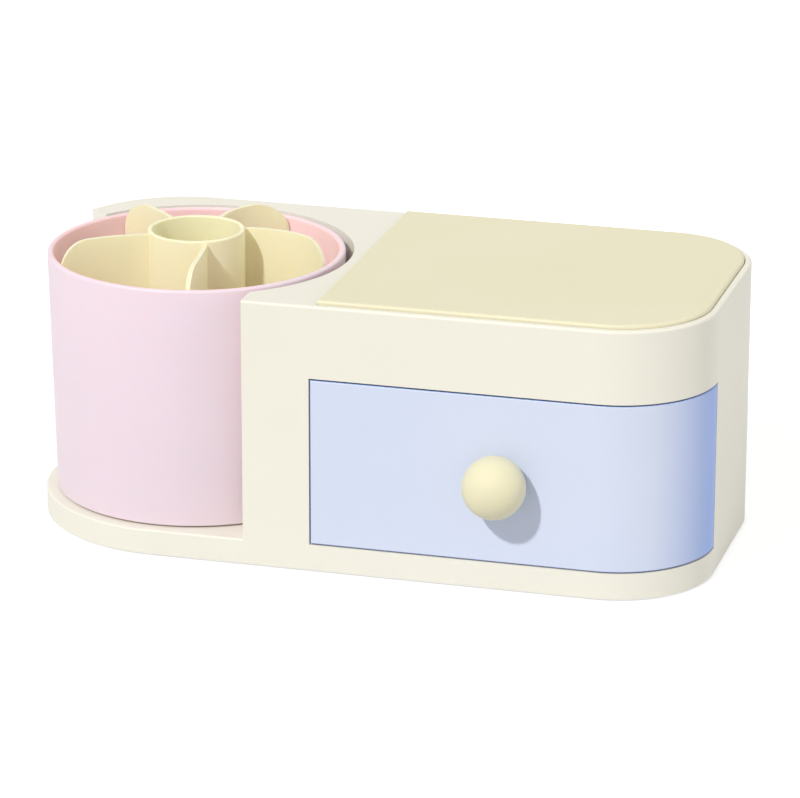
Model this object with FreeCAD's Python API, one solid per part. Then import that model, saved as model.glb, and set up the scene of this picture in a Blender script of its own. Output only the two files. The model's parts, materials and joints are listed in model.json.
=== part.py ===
import FreeCAD, Part
import math
import os

# Rotating brush holder with a drawer under a lidded tray.
# All lengths are millimetres. X runs along the front to the right, Y to the back, Z up.
# Everything is drawn about the axis of the round cup, then shifted to the holder's own frame.

# Round cup, which the rest is laid out about
CUP_RADIUS_TOP = 54.8
CUP_TAPER = 2.0
CUP_WALL = 2.4
CUP_FLOOR = 2.2
CUP_GAP = 0.6
CUP_PROUD = 0.4
CUP_RIM_ROUND = 1.0
CUP_FOOT_ROUND = 0.6

# Moulded body
BODY_LENGTH = 257.0
BODY_DEPTH = 124.5
BODY_TOP = 100.0
LEDGE_WIDTH = 2.2
CORNER_FRONT_RIGHT = 36.0
CORNER_BACK_RIGHT = 34.0
CORNER_BACK_LEFT = 43.0
WALL = 2.4
TOP_EDGE_ROUND = 1.0
LEDGE_TOP = 10.0
LEDGE_EDGE_ROUND = 0.7
FLOOR_THICK = 2.2
DECK_THICK = 2.4

# Pocket that the cup turns in, and the two ends of the wall round it
POCKET_GAP = 3.1
POCKET_WALL = 2.0
FRONT_WALL_END = 34.8
BACK_WALL_END_ANGLE = 144.0
PARTITION = 1.8

# Underside
FOOT_PROUD = 0.8
FOOT_RADIUS = 7.0
FOOT_THICK = 1.6
FOOT_INSET = 24.0
COVER_THICK = 1.8
COVER_CLEARANCE = 0.3
COVER_BOSS_RADIUS = 3.0
COVER_BOSS_INSET = 3.3
COVER_BOSS_ANGLES = (225.0, 315.0, 45.0, 172.0)
RIB_COUNT = 3
RIB_THICK = 1.6
RIB_GAP = 0.4

# Thrust bearing under the cup
RACE_INSET = 6.4
RACE_WIDTH = 16.0
RACE_THICK = 2.4
WELL_MARGIN = 2.0
WELL_WALL = 2.0
WELL_FLOOR_TOP = 5.0
WELL_FLOOR_THICK = 2.0
BALL_RADIUS = 2.5
BALL_COUNT = 16
BALL_CLEARANCE = 0.2
GROOVE_DEPTH = 1.35
CAGE_THICK = 1.4
CAGE_MARGIN = 3.2
CAGE_HOLE_CLEARANCE = 0.2
RACE_SCREW_COUNT = 3
LOWER_SCREW_INSET = 2.8
LOWER_SCREW_START_ANGLE = 90.0
UPPER_SCREW_INSET = 2.9
UPPER_SCREW_START_ANGLE = 30.0

# Pivot in the middle of the cup
POST_RADIUS = 6.0
POST_BORE = 1.6
BUSH_WALL = 1.6
BUSH_PRESS_CLEARANCE = 0.03
RUNNING_CLEARANCE = 0.05
END_PLAY = 0.3
WASHER_RADIUS = 11.0
WASHER_THICK = 1.2
PIVOT_SCREW_RADIUS = 1.5
PIVOT_HEAD_RADIUS = 3.2
PIVOT_HEAD_THICK = 2.2
PIVOT_HEAD_ROUND = 0.7
PIVOT_SCREW_GRIP = 8.0

# Divider insert: a middle tube and five curved vanes on a floor disc
TUBE_RADIUS = 17.8
TUBE_WALL = 1.6
TUBE_PROUD = 7.4
TUBE_EDGE_ROUND = 0.6
VANE_THICK = 1.6
VANE_PROUD = 6.0
VANE_CORNER = 11.0
VANE_CLEARANCE = 0.6
INSERT_FLOOR = 1.6
INSERT_HOLE_CLEARANCE = 2.0
# Plan angles of the five vanes in degrees: at the tube, half way out and at the cup's wall
VANE_ROOT_ANGLES = (207.0, 299.0, 34.0, 80.0, 136.0)
VANE_MIDDLE_ANGLES = (207.5, 288.5, 15.0, 81.0, 134.0)
VANE_TIP_ANGLES = (215.0, 284.0, 350.0, 66.0, 139.0)

# Drawer
OPENING_SILL = 0.4
OPENING_TOP = 73.1
DRAWER_GAP_SIDE = 0.5
DRAWER_GAP_TOP = 0.7
DRAWER_GAP_BOTTOM = 0.5
DRAWER_GAP_CORNER = 0.4
FRONT_THICK = 2.6
FRONT_EDGE_ROUND = 0.4
FRONT_TO_TRAY = 0.2
DRAWER_WALL = 2.0
DRAWER_FLOOR = 2.0
DRAWER_HEADROOM = 7.1
DRAWER_BACK_ROOM = 9.1
DRAWER_BACK_CORNER = 24.0
DRAWER_SMALL_CORNER = 3.0
DRAWER_INNER_ROUND = 1.5
DRAWER_TRAVEL = 84.0
RAIL_HEIGHT = 1.4
RAIL_WIDTH = 4.0
RAIL_INSET = 16.0
BUFFER_RIB_WIDTH = 3.0
FRONT_BOSS_RADIUS = 3.0
FRONT_BOSS_CLEARANCE = 0.2
FRONT_SCREW_MARGIN = 11.0
FRONT_SCREW_RIGHT_MARGIN = 8.0
FRONT_SCREW_DEPTH = 1.3
STOP_WIDTH = 20.0
STOP_DEPTH = 6.0
STOP_HEIGHT = 5.6
STOP_EDGE_ROUND = 1.0
CATCH_WIDTH = 30.0
CATCH_GAP = 3.0

# Knob
KNOB_RADIUS = 11.4
KNOB_STANDS_OUT = 8.4
KNOB_BORE_DEPTH = 10.0

# Lidded tray above the drawer
TRAY_LEDGE_WIDTH = 4.0
TRAY_LEDGE_THICK = 2.2
TRAY_LEDGE_GAP = 0.4
TRAY_CLEARANCE = 0.25
TRAY_WALL = 1.8
TRAY_FLOOR = 2.0
TRAY_SCREW_MARGIN = 5.5
TRAY_PAD_RADIUS = 5.0
TRAY_INNER_ROUND = 1.5
LID_MARGIN = 2.3
LID_CLEARANCE = 0.3
LID_THICK = 3.0
LID_PLATE = 2.0
LID_PROUD = 1.5
LID_EDGE_ROUND = 1.0
LID_LIP_WALL = 1.4
LID_LIP_DEPTH = 2.2
LID_LIP_CLEARANCE = 0.35
LID_RIB_COUNT = 2
LID_RIB_THICK = 1.4

# Small screws
SCREW_RADIUS = 1.2
SCREW_PILOT = 1.3
SCREW_THROUGH = 1.5
SCREW_HEAD_RADIUS = 2.5
SCREW_HEAD_THICK = 1.3
PAN_HEAD_RADIUS = 4.0
PAN_HEAD_THICK = 1.6
PAN_HEAD_ROUND = 0.5
SINK_CLEARANCE = 0.1
SCREW_TIP_ROOM = 0.4

# Room that a cutting shape has past the face it cuts
OVERRUN = 1.0

# Plan worked out from the sizes above
CUP_RADIUS_BOTTOM = CUP_RADIUS_TOP - CUP_TAPER
BODY_LEFT = CUP_RADIUS_TOP + LEDGE_WIDTH
BODY_FRONT = CUP_RADIUS_TOP + LEDGE_WIDTH
BODY_RIGHT = BODY_LENGTH - BODY_LEFT
BODY_BACK = BODY_DEPTH - BODY_FRONT
POCKET_RADIUS = CUP_RADIUS_TOP + POCKET_GAP
RACE_OUTER = CUP_RADIUS_BOTTOM - CUP_WALL - RACE_INSET
RACE_INNER = RACE_OUTER - RACE_WIDTH
BALL_CIRCLE = (RACE_INNER + RACE_OUTER) / 2.0
LOWER_SCREW_CIRCLE = RACE_OUTER - LOWER_SCREW_INSET
UPPER_SCREW_CIRCLE = RACE_INNER + UPPER_SCREW_INSET
WELL_RADIUS = RACE_OUTER + WELL_MARGIN
BUSH_INNER = POST_RADIUS + BUSH_PRESS_CLEARANCE
BUSH_OUTER = BUSH_INNER + BUSH_WALL
INSERT_FLOOR_HOLE = WASHER_RADIUS + INSERT_HOLE_CLEARANCE
OPENING_LEFT = POCKET_RADIUS + PARTITION
LID_LEFT = OPENING_LEFT + LID_MARGIN
LID_INSET = WALL + LID_CLEARANCE
TRAY_LEFT = LID_LEFT - LID_CLEARANCE + TRAY_CLEARANCE
TRAY_INSET = WALL + TRAY_CLEARANCE
FRONT_LEFT = OPENING_LEFT + DRAWER_GAP_SIDE
FRONT_ARC_END = CORNER_FRONT_RIGHT - BODY_FRONT
FRONT_CENTRE_X = (OPENING_LEFT + BODY_RIGHT) / 2.0
DRAWER_BACK = BODY_BACK - WALL - DRAWER_BACK_ROOM
DRAWER_INSET = FRONT_THICK + FRONT_TO_TRAY
DRAWER_FRONT_INNER = DRAWER_INSET + DRAWER_WALL - BODY_FRONT
CATCH_FRONT = DRAWER_BACK - DRAWER_WALL
STOP_BACK = CATCH_FRONT - DRAWER_TRAVEL
KNOB_FRONT = BODY_FRONT + KNOB_STANDS_OUT + KNOB_RADIUS

# Levels worked out from the sizes above
BODY_BOTTOM = FOOT_PROUD
COVER_TOP = BODY_BOTTOM + COVER_THICK
FLOOR_UNDER = LEDGE_TOP - FLOOR_THICK
WELL_FLOOR_UNDER = WELL_FLOOR_TOP - WELL_FLOOR_THICK
LOWER_RACE_TOP = WELL_FLOOR_TOP + RACE_THICK
BALL_LEVEL = LOWER_RACE_TOP - GROOVE_DEPTH + BALL_RADIUS + BALL_CLEARANCE
UPPER_RACE_UNDER = BALL_LEVEL + BALL_RADIUS + BALL_CLEARANCE - GROOVE_DEPTH
CUP_UNDER = LEDGE_TOP + CUP_GAP
CUP_FLOOR_UNDER = UPPER_RACE_UNDER + RACE_THICK
CUP_FLOOR_TOP = CUP_FLOOR_UNDER + CUP_FLOOR
CUP_RIM = BODY_TOP + CUP_PROUD
VANE_TOP = CUP_RIM + VANE_PROUD
TUBE_TOP = CUP_RIM + TUBE_PROUD
BUSH_TOP = CUP_FLOOR_TOP + END_PLAY
WASHER_TOP = BUSH_TOP + WASHER_THICK
OPENING_BOTTOM = LEDGE_TOP + OPENING_SILL
FRONT_UNDER = OPENING_BOTTOM + DRAWER_GAP_BOTTOM
FRONT_TOP = OPENING_TOP - DRAWER_GAP_TOP
FRONT_CENTRE_Z = (OPENING_BOTTOM + OPENING_TOP) / 2.0
DRAWER_UNDER = LEDGE_TOP + RAIL_HEIGHT
DRAWER_FLOOR_TOP = DRAWER_UNDER + DRAWER_FLOOR
DRAWER_WALL_TOP = OPENING_TOP - DRAWER_HEADROOM
TRAY_LEDGE_UNDER = OPENING_TOP + TRAY_LEDGE_GAP
TRAY_UNDER = TRAY_LEDGE_UNDER + TRAY_LEDGE_THICK
TRAY_FLOOR_TOP = TRAY_UNDER + TRAY_FLOOR
LID_TOP = BODY_TOP + LID_PROUD
LID_UNDER = LID_TOP - LID_THICK

# Longer than anything here, for cutting shapes that run right through
FAR = 400.0
# From the cup's axis to the holder's own frame, whose origin is under the middle of its plan
FRAME_SHIFT = FreeCAD.Vector((BODY_LEFT - BODY_RIGHT) / 2.0, (KNOB_FRONT - BODY_BACK) / 2.0, 0.0)


def point(x, y, z=0.0):
    return FreeCAD.Vector(x, y, z)


def polar(radius, degrees, z=0.0, centre=(0.0, 0.0)):
    turn = math.radians(degrees)
    return point(centre[0] + radius * math.cos(turn), centre[1] + radius * math.sin(turn), z)


def block(x_low, x_high, y_low, y_high, z_low, z_high):
    return Part.makeBox(x_high - x_low, y_high - y_low, z_high - z_low, point(x_low, y_low, z_low))


def disc(radius, z_low, z_high, x=0.0, y=0.0):
    return Part.makeCylinder(radius, z_high - z_low, point(x, y, z_low))


def ring(outer, inner, z_low, z_high, x=0.0, y=0.0):
    return disc(outer, z_low, z_high, x, y).cut(disc(inner, z_low, z_high, x, y))


def group(solids):
    return Part.makeCompound(solids)


def rounded_wire(corners):
    """Closed outline from (x, y, radius) corners in anticlockwise order; every corner turns left."""
    count = len(corners)
    tangents = []
    for index in range(count):
        x, y, radius = corners[index]
        before = corners[index - 1]
        after = corners[(index + 1) % count]
        here = point(x, y)
        back = (point(before[0], before[1]) - here).normalize()
        ahead = (point(after[0], after[1]) - here).normalize()
        half = math.acos(max(-1.0, min(1.0, back.dot(ahead)))) / 2.0
        reach = radius / math.tan(half)
        middle = (back + ahead).normalize()
        centre = here + middle * (radius / math.sin(half))
        tangents.append((here + back * reach, centre - middle * radius, here + ahead * reach))
    edges = []
    for index in range(count):
        enter, mid, leave = tangents[index]
        following = tangents[(index + 1) % count][0]
        edges.append(Part.Arc(enter, mid, leave).toShape())
        if leave.distanceToPoint(following) > 1e-6:
            edges.append(Part.LineSegment(leave, following).toShape())
    return Part.Wire(edges)


def extrude(wire, z_low, z_high):
    solid = Part.Face(wire).extrude(point(0.0, 0.0, z_high - z_low))
    solid.translate(point(0.0, 0.0, z_low))
    return solid


def body_prism(inset, z_low, z_high):
    """Outline of the moulded body, drawn in by the inset with its corners kept concentric."""
    left = inset - BODY_LEFT
    right = BODY_RIGHT - inset
    front = inset - BODY_FRONT
    back = BODY_BACK - inset
    wire = rounded_wire((
        (left, front, BODY_FRONT - inset),
        (right, front, CORNER_FRONT_RIGHT - inset),
        (right, back, CORNER_BACK_RIGHT - inset),
        (left, back, CORNER_BACK_LEFT - inset),
    ))
    return extrude(wire, z_low, z_high)


def right_part(inset, left, z_low, z_high):
    """The body's outline right of a straight line across it."""
    return body_prism(inset, z_low, z_high).common(block(left, FAR, -FAR, FAR, z_low, z_high))


def edges_at(solid, level, keep=None):
    """Edges that lie wholly at one height."""
    found = []
    for edge in solid.Edges:
        box = edge.BoundBox
        flat = abs(box.ZMin - level) < 1e-4 and abs(box.ZMax - level) < 1e-4
        if flat and (keep is None or keep(edge)):
            found.append(edge)
    return found


def turned(radius_low, radius_high, z_low, z_high):
    return Part.makeCone(radius_low, radius_high, z_high - z_low, point(0.0, 0.0, z_low))


def ring_places(radius, count, start):
    return [polar(radius, start + 360.0 * step / count) for step in range(count)]


def screw_down(x, y, top, tip):
    """Countersunk screw, head up, with its head flush at the top level."""
    neck = point(x, y, top - SCREW_HEAD_THICK)
    head = Part.makeCone(SCREW_RADIUS, SCREW_HEAD_RADIUS, SCREW_HEAD_THICK, neck)
    return head.fuse(disc(SCREW_RADIUS, tip, top - SCREW_HEAD_THICK, x, y)).removeSplitter()


def sink_down(x, y, top, under):
    """Hole for screw_down through a plate."""
    wide = SCREW_HEAD_RADIUS + SINK_CLEARANCE
    narrow = SCREW_RADIUS + SINK_CLEARANCE
    cone = Part.makeCone(narrow, wide, SCREW_HEAD_THICK, point(x, y, top - SCREW_HEAD_THICK))
    return cone.fuse(disc(SCREW_THROUGH, under, top, x, y))


def flipped(solid, level):
    """The solid turned over about a level plane."""
    return solid.mirror(point(0.0, 0.0, level), point(0.0, 0.0, 1.0))


def corner_centres():
    """Centre and radius of each rounded corner: front left, front right, back right, back left."""
    return (
        (0.0, 0.0, BODY_FRONT),
        (BODY_RIGHT - CORNER_FRONT_RIGHT, CORNER_FRONT_RIGHT - BODY_FRONT, CORNER_FRONT_RIGHT),
        (BODY_RIGHT - CORNER_BACK_RIGHT, BODY_BACK - CORNER_BACK_RIGHT, CORNER_BACK_RIGHT),
        (CORNER_BACK_LEFT - BODY_LEFT, BODY_BACK - CORNER_BACK_LEFT, CORNER_BACK_LEFT),
    )


def cover_screw_places():
    """Bosses in the four rounded corners and beside the partition, just inside the wall."""
    reach = WALL + COVER_BOSS_INSET
    places = []
    for (x, y, radius), angle in zip(corner_centres(), COVER_BOSS_ANGLES):
        places.append(polar(radius - reach, angle, 0.0, (x, y)))
    beside = OPENING_LEFT + COVER_BOSS_RADIUS
    places.append(point(beside, reach - BODY_FRONT))
    places.append(point(beside, BODY_BACK - reach))
    return places


def foot_places():
    left = FOOT_INSET + FOOT_RADIUS - BODY_LEFT
    right = BODY_RIGHT - FOOT_INSET - FOOT_RADIUS
    front = FOOT_INSET + FOOT_RADIUS - BODY_FRONT
    back = BODY_BACK - FOOT_INSET - FOOT_RADIUS
    return [point(x, y) for x in (left, right) for y in (front, back)]


def tray_screw_places():
    left = TRAY_LEFT + TRAY_SCREW_MARGIN
    front = TRAY_INSET + TRAY_SCREW_MARGIN - BODY_FRONT
    back = BODY_BACK - TRAY_INSET - TRAY_SCREW_MARGIN
    places = [point(left, front), point(left, back)]
    for (x, y, radius), angle in zip(corner_centres()[1:3], (-45.0, 45.0)):
        places.append(polar(radius - TRAY_INSET - TRAY_SCREW_MARGIN, angle, 0.0, (x, y)))
    return places


def cut_away(level):
    """Space above a level, left of the two wall ends, where the cup stands free."""
    reach = FAR * 2.0
    end = polar(reach, BACK_WALL_END_ANGLE)
    corners = [
        point(0.0, 0.0), end, point(-reach, end.y), point(-reach, -reach),
        point(FRONT_WALL_END, -reach), point(FRONT_WALL_END, 0.0), point(0.0, 0.0),
    ]
    return extrude(Part.makePolygon(corners), level, FAR)


def ledge_rounding():
    """What comes off the ledge's outer edge where it stands free of the wall."""
    low = LEDGE_TOP - 2.0 * LEDGE_EDGE_ROUND
    plain = body_prism(0.0, low, LEDGE_TOP)
    rounded = plain.makeFillet(LEDGE_EDGE_ROUND, edges_at(plain, LEDGE_TOP))
    return plain.cut(rounded).common(cut_away(low))


def wall_hollows():
    """The two pockets left open from below between the cup's pocket and the outer wall."""
    top = BODY_TOP - DECK_THICK
    room = body_prism(WALL, COVER_TOP, top).cut(disc(POCKET_RADIUS + POCKET_WALL, COVER_TOP, top))
    front_left = FRONT_WALL_END + WALL
    front_room = room.common(block(front_left, POCKET_RADIUS, -FAR, 0.0, COVER_TOP, top))
    end = polar(FAR, BACK_WALL_END_ANGLE)
    across = polar(POCKET_WALL, BACK_WALL_END_ANGLE - 90.0)
    sector = [across, end + across, point(end.x, FAR)]
    sector += [point(POCKET_RADIUS, FAR), point(POCKET_RADIUS, 0.0), across]
    back_room = room.common(extrude(Part.makePolygon(sector), COVER_TOP, top))
    return front_room.fuse(back_room)


def housing():
    """Main moulding: base with the bearing well, wall round the cup, deck and drawer bay."""
    shell = body_prism(0.0, BODY_BOTTOM, BODY_TOP)
    shell = shell.makeFillet(TOP_EDGE_ROUND, edges_at(shell, BODY_TOP))
    shell = shell.cut(disc(POCKET_RADIUS, LEDGE_TOP, FAR))
    shell = shell.cut(cut_away(LEDGE_TOP))
    shell = shell.cut(ledge_rounding())
    shell = shell.cut(body_prism(WALL, BODY_BOTTOM, FLOOR_UNDER).cut(
        disc(WELL_RADIUS + WELL_WALL, WELL_FLOOR_UNDER, FLOOR_UNDER)))
    shell = shell.cut(disc(WELL_RADIUS, WELL_FLOOR_TOP, LEDGE_TOP))
    shell = shell.cut(wall_hollows())
    shell = shell.cut(right_part(WALL, OPENING_LEFT, LEDGE_TOP, BODY_TOP - DECK_THICK))
    shell = shell.cut(right_part(WALL, LID_LEFT - LID_CLEARANCE, BODY_TOP - DECK_THICK, BODY_TOP))
    shell = shell.cut(block(OPENING_LEFT, FAR, -FAR, FRONT_ARC_END, OPENING_BOTTOM, OPENING_TOP))
    return shell.fuse(housing_details()).cut(housing_holes()).removeSplitter()


def housing_details():
    """Bosses, ribs, rails and ledge that stand on the main moulding's walls."""
    added = [disc(COVER_BOSS_RADIUS, COVER_TOP, FLOOR_UNDER, at.x, at.y) for at in cover_screw_places()]
    added.append(disc(POST_RADIUS, WELL_FLOOR_TOP, BUSH_TOP))
    inner = body_prism(WALL, COVER_TOP + RIB_GAP, FLOOR_UNDER)
    outside_well = inner.cut(disc(WELL_RADIUS + WELL_WALL, COVER_TOP, FLOOR_UNDER))
    for x in rib_lines():
        added.append(outside_well.common(
            block(x - RIB_THICK / 2.0, x + RIB_THICK / 2.0, -FAR, FAR, COVER_TOP, FLOOR_UNDER)))
    ledge = right_part(WALL, OPENING_LEFT, TRAY_LEDGE_UNDER, TRAY_UNDER)
    reach = WALL + TRAY_LEDGE_WIDTH
    ledge = ledge.cut(right_part(reach, LID_LEFT + TRAY_LEDGE_WIDTH, TRAY_LEDGE_UNDER, TRAY_UNDER))
    added.append(ledge)
    room = right_part(WALL, OPENING_LEFT, TRAY_LEDGE_UNDER, TRAY_UNDER)
    for at in tray_screw_places():
        added.append(disc(TRAY_PAD_RADIUS, TRAY_LEDGE_UNDER, TRAY_UNDER, at.x, at.y).common(room))
    for x in rail_lines():
        low = x - RAIL_WIDTH / 2.0
        rail = block(low, low + RAIL_WIDTH, DRAWER_INSET - BODY_FRONT, BODY_BACK, LEDGE_TOP, DRAWER_UNDER)
        added.append(rail.common(right_part(WALL, OPENING_LEFT, LEDGE_TOP, DRAWER_UNDER)))
        half = BUFFER_RIB_WIDTH / 2.0
        added.append(block(x - half, x + half, DRAWER_BACK, BODY_BACK - WALL, LEDGE_TOP, DRAWER_WALL_TOP))
    whole = added[0]
    return whole.multiFuse(added[1:])


def rib_lines():
    start = OPENING_LEFT
    step = (BODY_RIGHT - start) / (RIB_COUNT + 1.0)
    return [start + step * (number + 1) for number in range(RIB_COUNT)]


def rail_lines():
    return [OPENING_LEFT + RAIL_INSET, BODY_RIGHT - DRAWER_BACK_CORNER - RAIL_INSET]


def housing_holes():
    holes = [disc(SCREW_PILOT, COVER_TOP, FLOOR_UNDER, at.x, at.y) for at in cover_screw_places()]
    holes.append(disc(POST_BORE, BUSH_TOP - PIVOT_SCREW_GRIP - SCREW_TIP_ROOM, BUSH_TOP))
    for at in ring_places(LOWER_SCREW_CIRCLE, RACE_SCREW_COUNT, LOWER_SCREW_START_ANGLE):
        holes.append(disc(SCREW_PILOT, WELL_FLOOR_UNDER, WELL_FLOOR_TOP, at.x, at.y))
    for at in tray_screw_places():
        holes.append(disc(SCREW_PILOT, TRAY_LEDGE_UNDER, TRAY_UNDER, at.x, at.y))
    return holes[0].multiFuse(holes[1:])


def base_cover():
    plate = body_prism(WALL + COVER_CLEARANCE, BODY_BOTTOM, COVER_TOP)
    for at in cover_screw_places():
        hole = flipped(sink_down(at.x, at.y, COVER_TOP, BODY_BOTTOM), (BODY_BOTTOM + COVER_TOP) / 2.0)
        plate = plate.cut(hole)
    for at in foot_places():
        plate = plate.cut(disc(FOOT_RADIUS, BODY_BOTTOM, FOOT_THICK, at.x, at.y))
    return plate


def base_cover_screws():
    length = FLOOR_UNDER - BODY_BOTTOM - SCREW_TIP_ROOM
    screws = []
    for at in cover_screw_places():
        screw = screw_down(at.x, at.y, BODY_BOTTOM, BODY_BOTTOM - length)
        screws.append(flipped(screw, BODY_BOTTOM))
    return group(screws)


def rubber_feet():
    feet = []
    for at in foot_places():
        foot = disc(FOOT_RADIUS, 0.0, FOOT_THICK, at.x, at.y)
        feet.append(foot.makeFillet(FOOT_PROUD / 2.0, edges_at(foot, 0.0)))
    return group(feet)


def race(under, groove_from):
    """Flat ring with a round groove for the balls on the side nearest their level."""
    plain = ring(RACE_OUTER, RACE_INNER, under, under + RACE_THICK)
    return plain.cut(Part.makeTorus(BALL_CIRCLE, BALL_RADIUS + BALL_CLEARANCE, point(0.0, 0.0, groove_from)))


def lower_race():
    plate = race(WELL_FLOOR_TOP, BALL_LEVEL)
    for at in ring_places(LOWER_SCREW_CIRCLE, RACE_SCREW_COUNT, LOWER_SCREW_START_ANGLE):
        plate = plate.cut(sink_down(at.x, at.y, LOWER_RACE_TOP, WELL_FLOOR_TOP))
    return plate


def lower_race_screws():
    places = ring_places(LOWER_SCREW_CIRCLE, RACE_SCREW_COUNT, LOWER_SCREW_START_ANGLE)
    return group([screw_down(at.x, at.y, LOWER_RACE_TOP, WELL_FLOOR_UNDER) for at in places])


def upper_race():
    plate = race(UPPER_RACE_UNDER, BALL_LEVEL)
    for at in ring_places(UPPER_SCREW_CIRCLE, RACE_SCREW_COUNT, UPPER_SCREW_START_ANGLE):
        plate = plate.cut(disc(SCREW_PILOT, UPPER_RACE_UNDER, CUP_FLOOR_UNDER, at.x, at.y))
    return plate


def upper_race_screws():
    places = ring_places(UPPER_SCREW_CIRCLE, RACE_SCREW_COUNT, UPPER_SCREW_START_ANGLE)
    return group([screw_down(at.x, at.y, CUP_FLOOR_TOP, UPPER_RACE_UNDER) for at in places])


def ball_cage():
    low = BALL_LEVEL - CAGE_THICK / 2.0
    half = BALL_RADIUS + CAGE_MARGIN
    cage = ring(BALL_CIRCLE + half, BALL_CIRCLE - half, low, low + CAGE_THICK)
    holes = []
    for at in ring_places(BALL_CIRCLE, BALL_COUNT, 0.0):
        holes.append(disc(BALL_RADIUS + CAGE_HOLE_CLEARANCE, low, low + CAGE_THICK, at.x, at.y))
    return cage.cut(group(holes))


def bearing_balls():
    balls = []
    for at in ring_places(BALL_CIRCLE, BALL_COUNT, 0.0):
        balls.append(Part.makeSphere(BALL_RADIUS, point(at.x, at.y, BALL_LEVEL)))
    return group(balls)


def cup_radius(level):
    share = (level - CUP_UNDER) / (CUP_RIM - CUP_UNDER)
    return CUP_RADIUS_BOTTOM + (CUP_RADIUS_TOP - CUP_RADIUS_BOTTOM) * share


def cup_inside(level):
    return cup_radius(level) - CUP_WALL


def brush_cup():
    """Slightly tapered cup with a rounded rim, a raised floor over the upper race and a hub hole."""
    outside = turned(cup_radius(CUP_UNDER), cup_radius(CUP_RIM), CUP_UNDER, CUP_RIM)
    inside = turned(cup_inside(CUP_FLOOR_TOP), cup_inside(CUP_RIM), CUP_FLOOR_TOP, CUP_RIM)
    cup = outside.cut(inside)
    cup = cup.cut(disc(cup_inside(CUP_UNDER), CUP_UNDER, CUP_FLOOR_UNDER))
    cup = cup.makeFillet(CUP_RIM_ROUND, edges_at(cup, CUP_RIM))
    rim_low = cup_radius(CUP_UNDER) - CUP_WALL / 2.0
    outer_foot = edges_at(cup, CUP_UNDER, lambda edge: edge.Curve.Radius > rim_low)
    cup = cup.makeFillet(CUP_FOOT_ROUND, outer_foot)
    cup = cup.cut(disc(BUSH_OUTER + RUNNING_CLEARANCE, CUP_FLOOR_UNDER, CUP_FLOOR_TOP))
    for at in ring_places(UPPER_SCREW_CIRCLE, RACE_SCREW_COUNT, UPPER_SCREW_START_ANGLE):
        cup = cup.cut(sink_down(at.x, at.y, CUP_FLOOR_TOP, CUP_FLOOR_UNDER))
    return cup


def pivot_bush():
    return ring(BUSH_OUTER, BUSH_INNER, WELL_FLOOR_TOP, BUSH_TOP)


def pivot_washer():
    return ring(WASHER_RADIUS, PIVOT_SCREW_RADIUS + SINK_CLEARANCE, BUSH_TOP, WASHER_TOP)


def pivot_screw():
    head = disc(PIVOT_HEAD_RADIUS, WASHER_TOP, WASHER_TOP + PIVOT_HEAD_THICK)
    head = head.makeFillet(PIVOT_HEAD_ROUND, edges_at(head, WASHER_TOP + PIVOT_HEAD_THICK))
    return head.fuse(disc(PIVOT_SCREW_RADIUS, BUSH_TOP - PIVOT_SCREW_GRIP, WASHER_TOP))


def insert_envelope():
    """Turned space that trims every vane: it follows the cup's taper and rounds the outer top corner."""
    corner_low = VANE_TOP - VANE_CORNER
    reach = cup_inside(corner_low) - VANE_CLEARANCE
    flat = reach - VANE_CORNER
    middle = polar(VANE_CORNER, 45.0, 0.0, (flat, corner_low))
    axis_low = point(0.0, 0.0, CUP_FLOOR_TOP)
    axis_high = point(0.0, 0.0, VANE_TOP)
    foot = point(cup_inside(CUP_FLOOR_TOP) - VANE_CLEARANCE, 0.0, CUP_FLOOR_TOP)
    shoulder = point(reach, 0.0, corner_low)
    crest = point(flat, 0.0, VANE_TOP)
    edges = [
        Part.LineSegment(axis_low, foot).toShape(),
        Part.LineSegment(foot, shoulder).toShape(),
        Part.Arc(shoulder, point(middle.x, 0.0, middle.y), crest).toShape(),
        Part.LineSegment(crest, axis_high).toShape(),
        Part.LineSegment(axis_high, axis_low).toShape(),
    ]
    return Part.Face(Part.Wire(edges)).revolve(point(0.0, 0.0), point(0.0, 0.0, 1.0), 360.0)


def vane(angles):
    """One upright vane whose plan is an arc through three angles from the tube to the cup's wall."""
    near = TUBE_RADIUS - TUBE_WALL / 2.0
    far = cup_inside(VANE_TOP)
    middle = (near + far) / 2.0
    root = polar(near, angles[0])
    half_way = polar(middle, angles[1])
    tip = polar(far, angles[2])
    curve = Part.Arc(root, half_way, tip).toShape().Curve
    centre = curve.Center
    radius = curve.Radius

    def at_radius(place, change):
        return centre + (place - centre).normalize() * (radius + change)
    grow = VANE_THICK / 2.0
    edges = [
        Part.Arc(at_radius(root, grow), at_radius(half_way, grow), at_radius(tip, grow)).toShape(),
        Part.LineSegment(at_radius(tip, grow), at_radius(tip, -grow)).toShape(),
        Part.Arc(at_radius(tip, -grow), at_radius(half_way, -grow), at_radius(root, -grow)).toShape(),
        Part.LineSegment(at_radius(root, -grow), at_radius(root, grow)).toShape(),
    ]
    return extrude(Part.Wire(edges), CUP_FLOOR_TOP, VANE_TOP)


def divider_insert():
    """Lift-out divider: five curved vanes round an open tube, on a thin floor disc."""
    directions = zip(VANE_ROOT_ANGLES, VANE_MIDDLE_ANGLES, VANE_TIP_ANGLES)
    vanes = [vane(angles) for angles in directions]
    spread = vanes[0].multiFuse(vanes[1:])
    spread = spread.common(insert_envelope())
    tube = ring(TUBE_RADIUS, TUBE_RADIUS - TUBE_WALL, CUP_FLOOR_TOP, TUBE_TOP)
    tube = tube.makeFillet(TUBE_EDGE_ROUND, edges_at(tube, TUBE_TOP))
    floor_radius = cup_inside(CUP_FLOOR_TOP) - VANE_CLEARANCE
    floor = ring(floor_radius, INSERT_FLOOR_HOLE, CUP_FLOOR_TOP, CUP_FLOOR_TOP + INSERT_FLOOR)
    insert = floor.multiFuse([tube, spread])
    return insert.cut(disc(TUBE_RADIUS - TUBE_WALL, CUP_FLOOR_TOP + INSERT_FLOOR, FAR)).removeSplitter()


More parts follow.
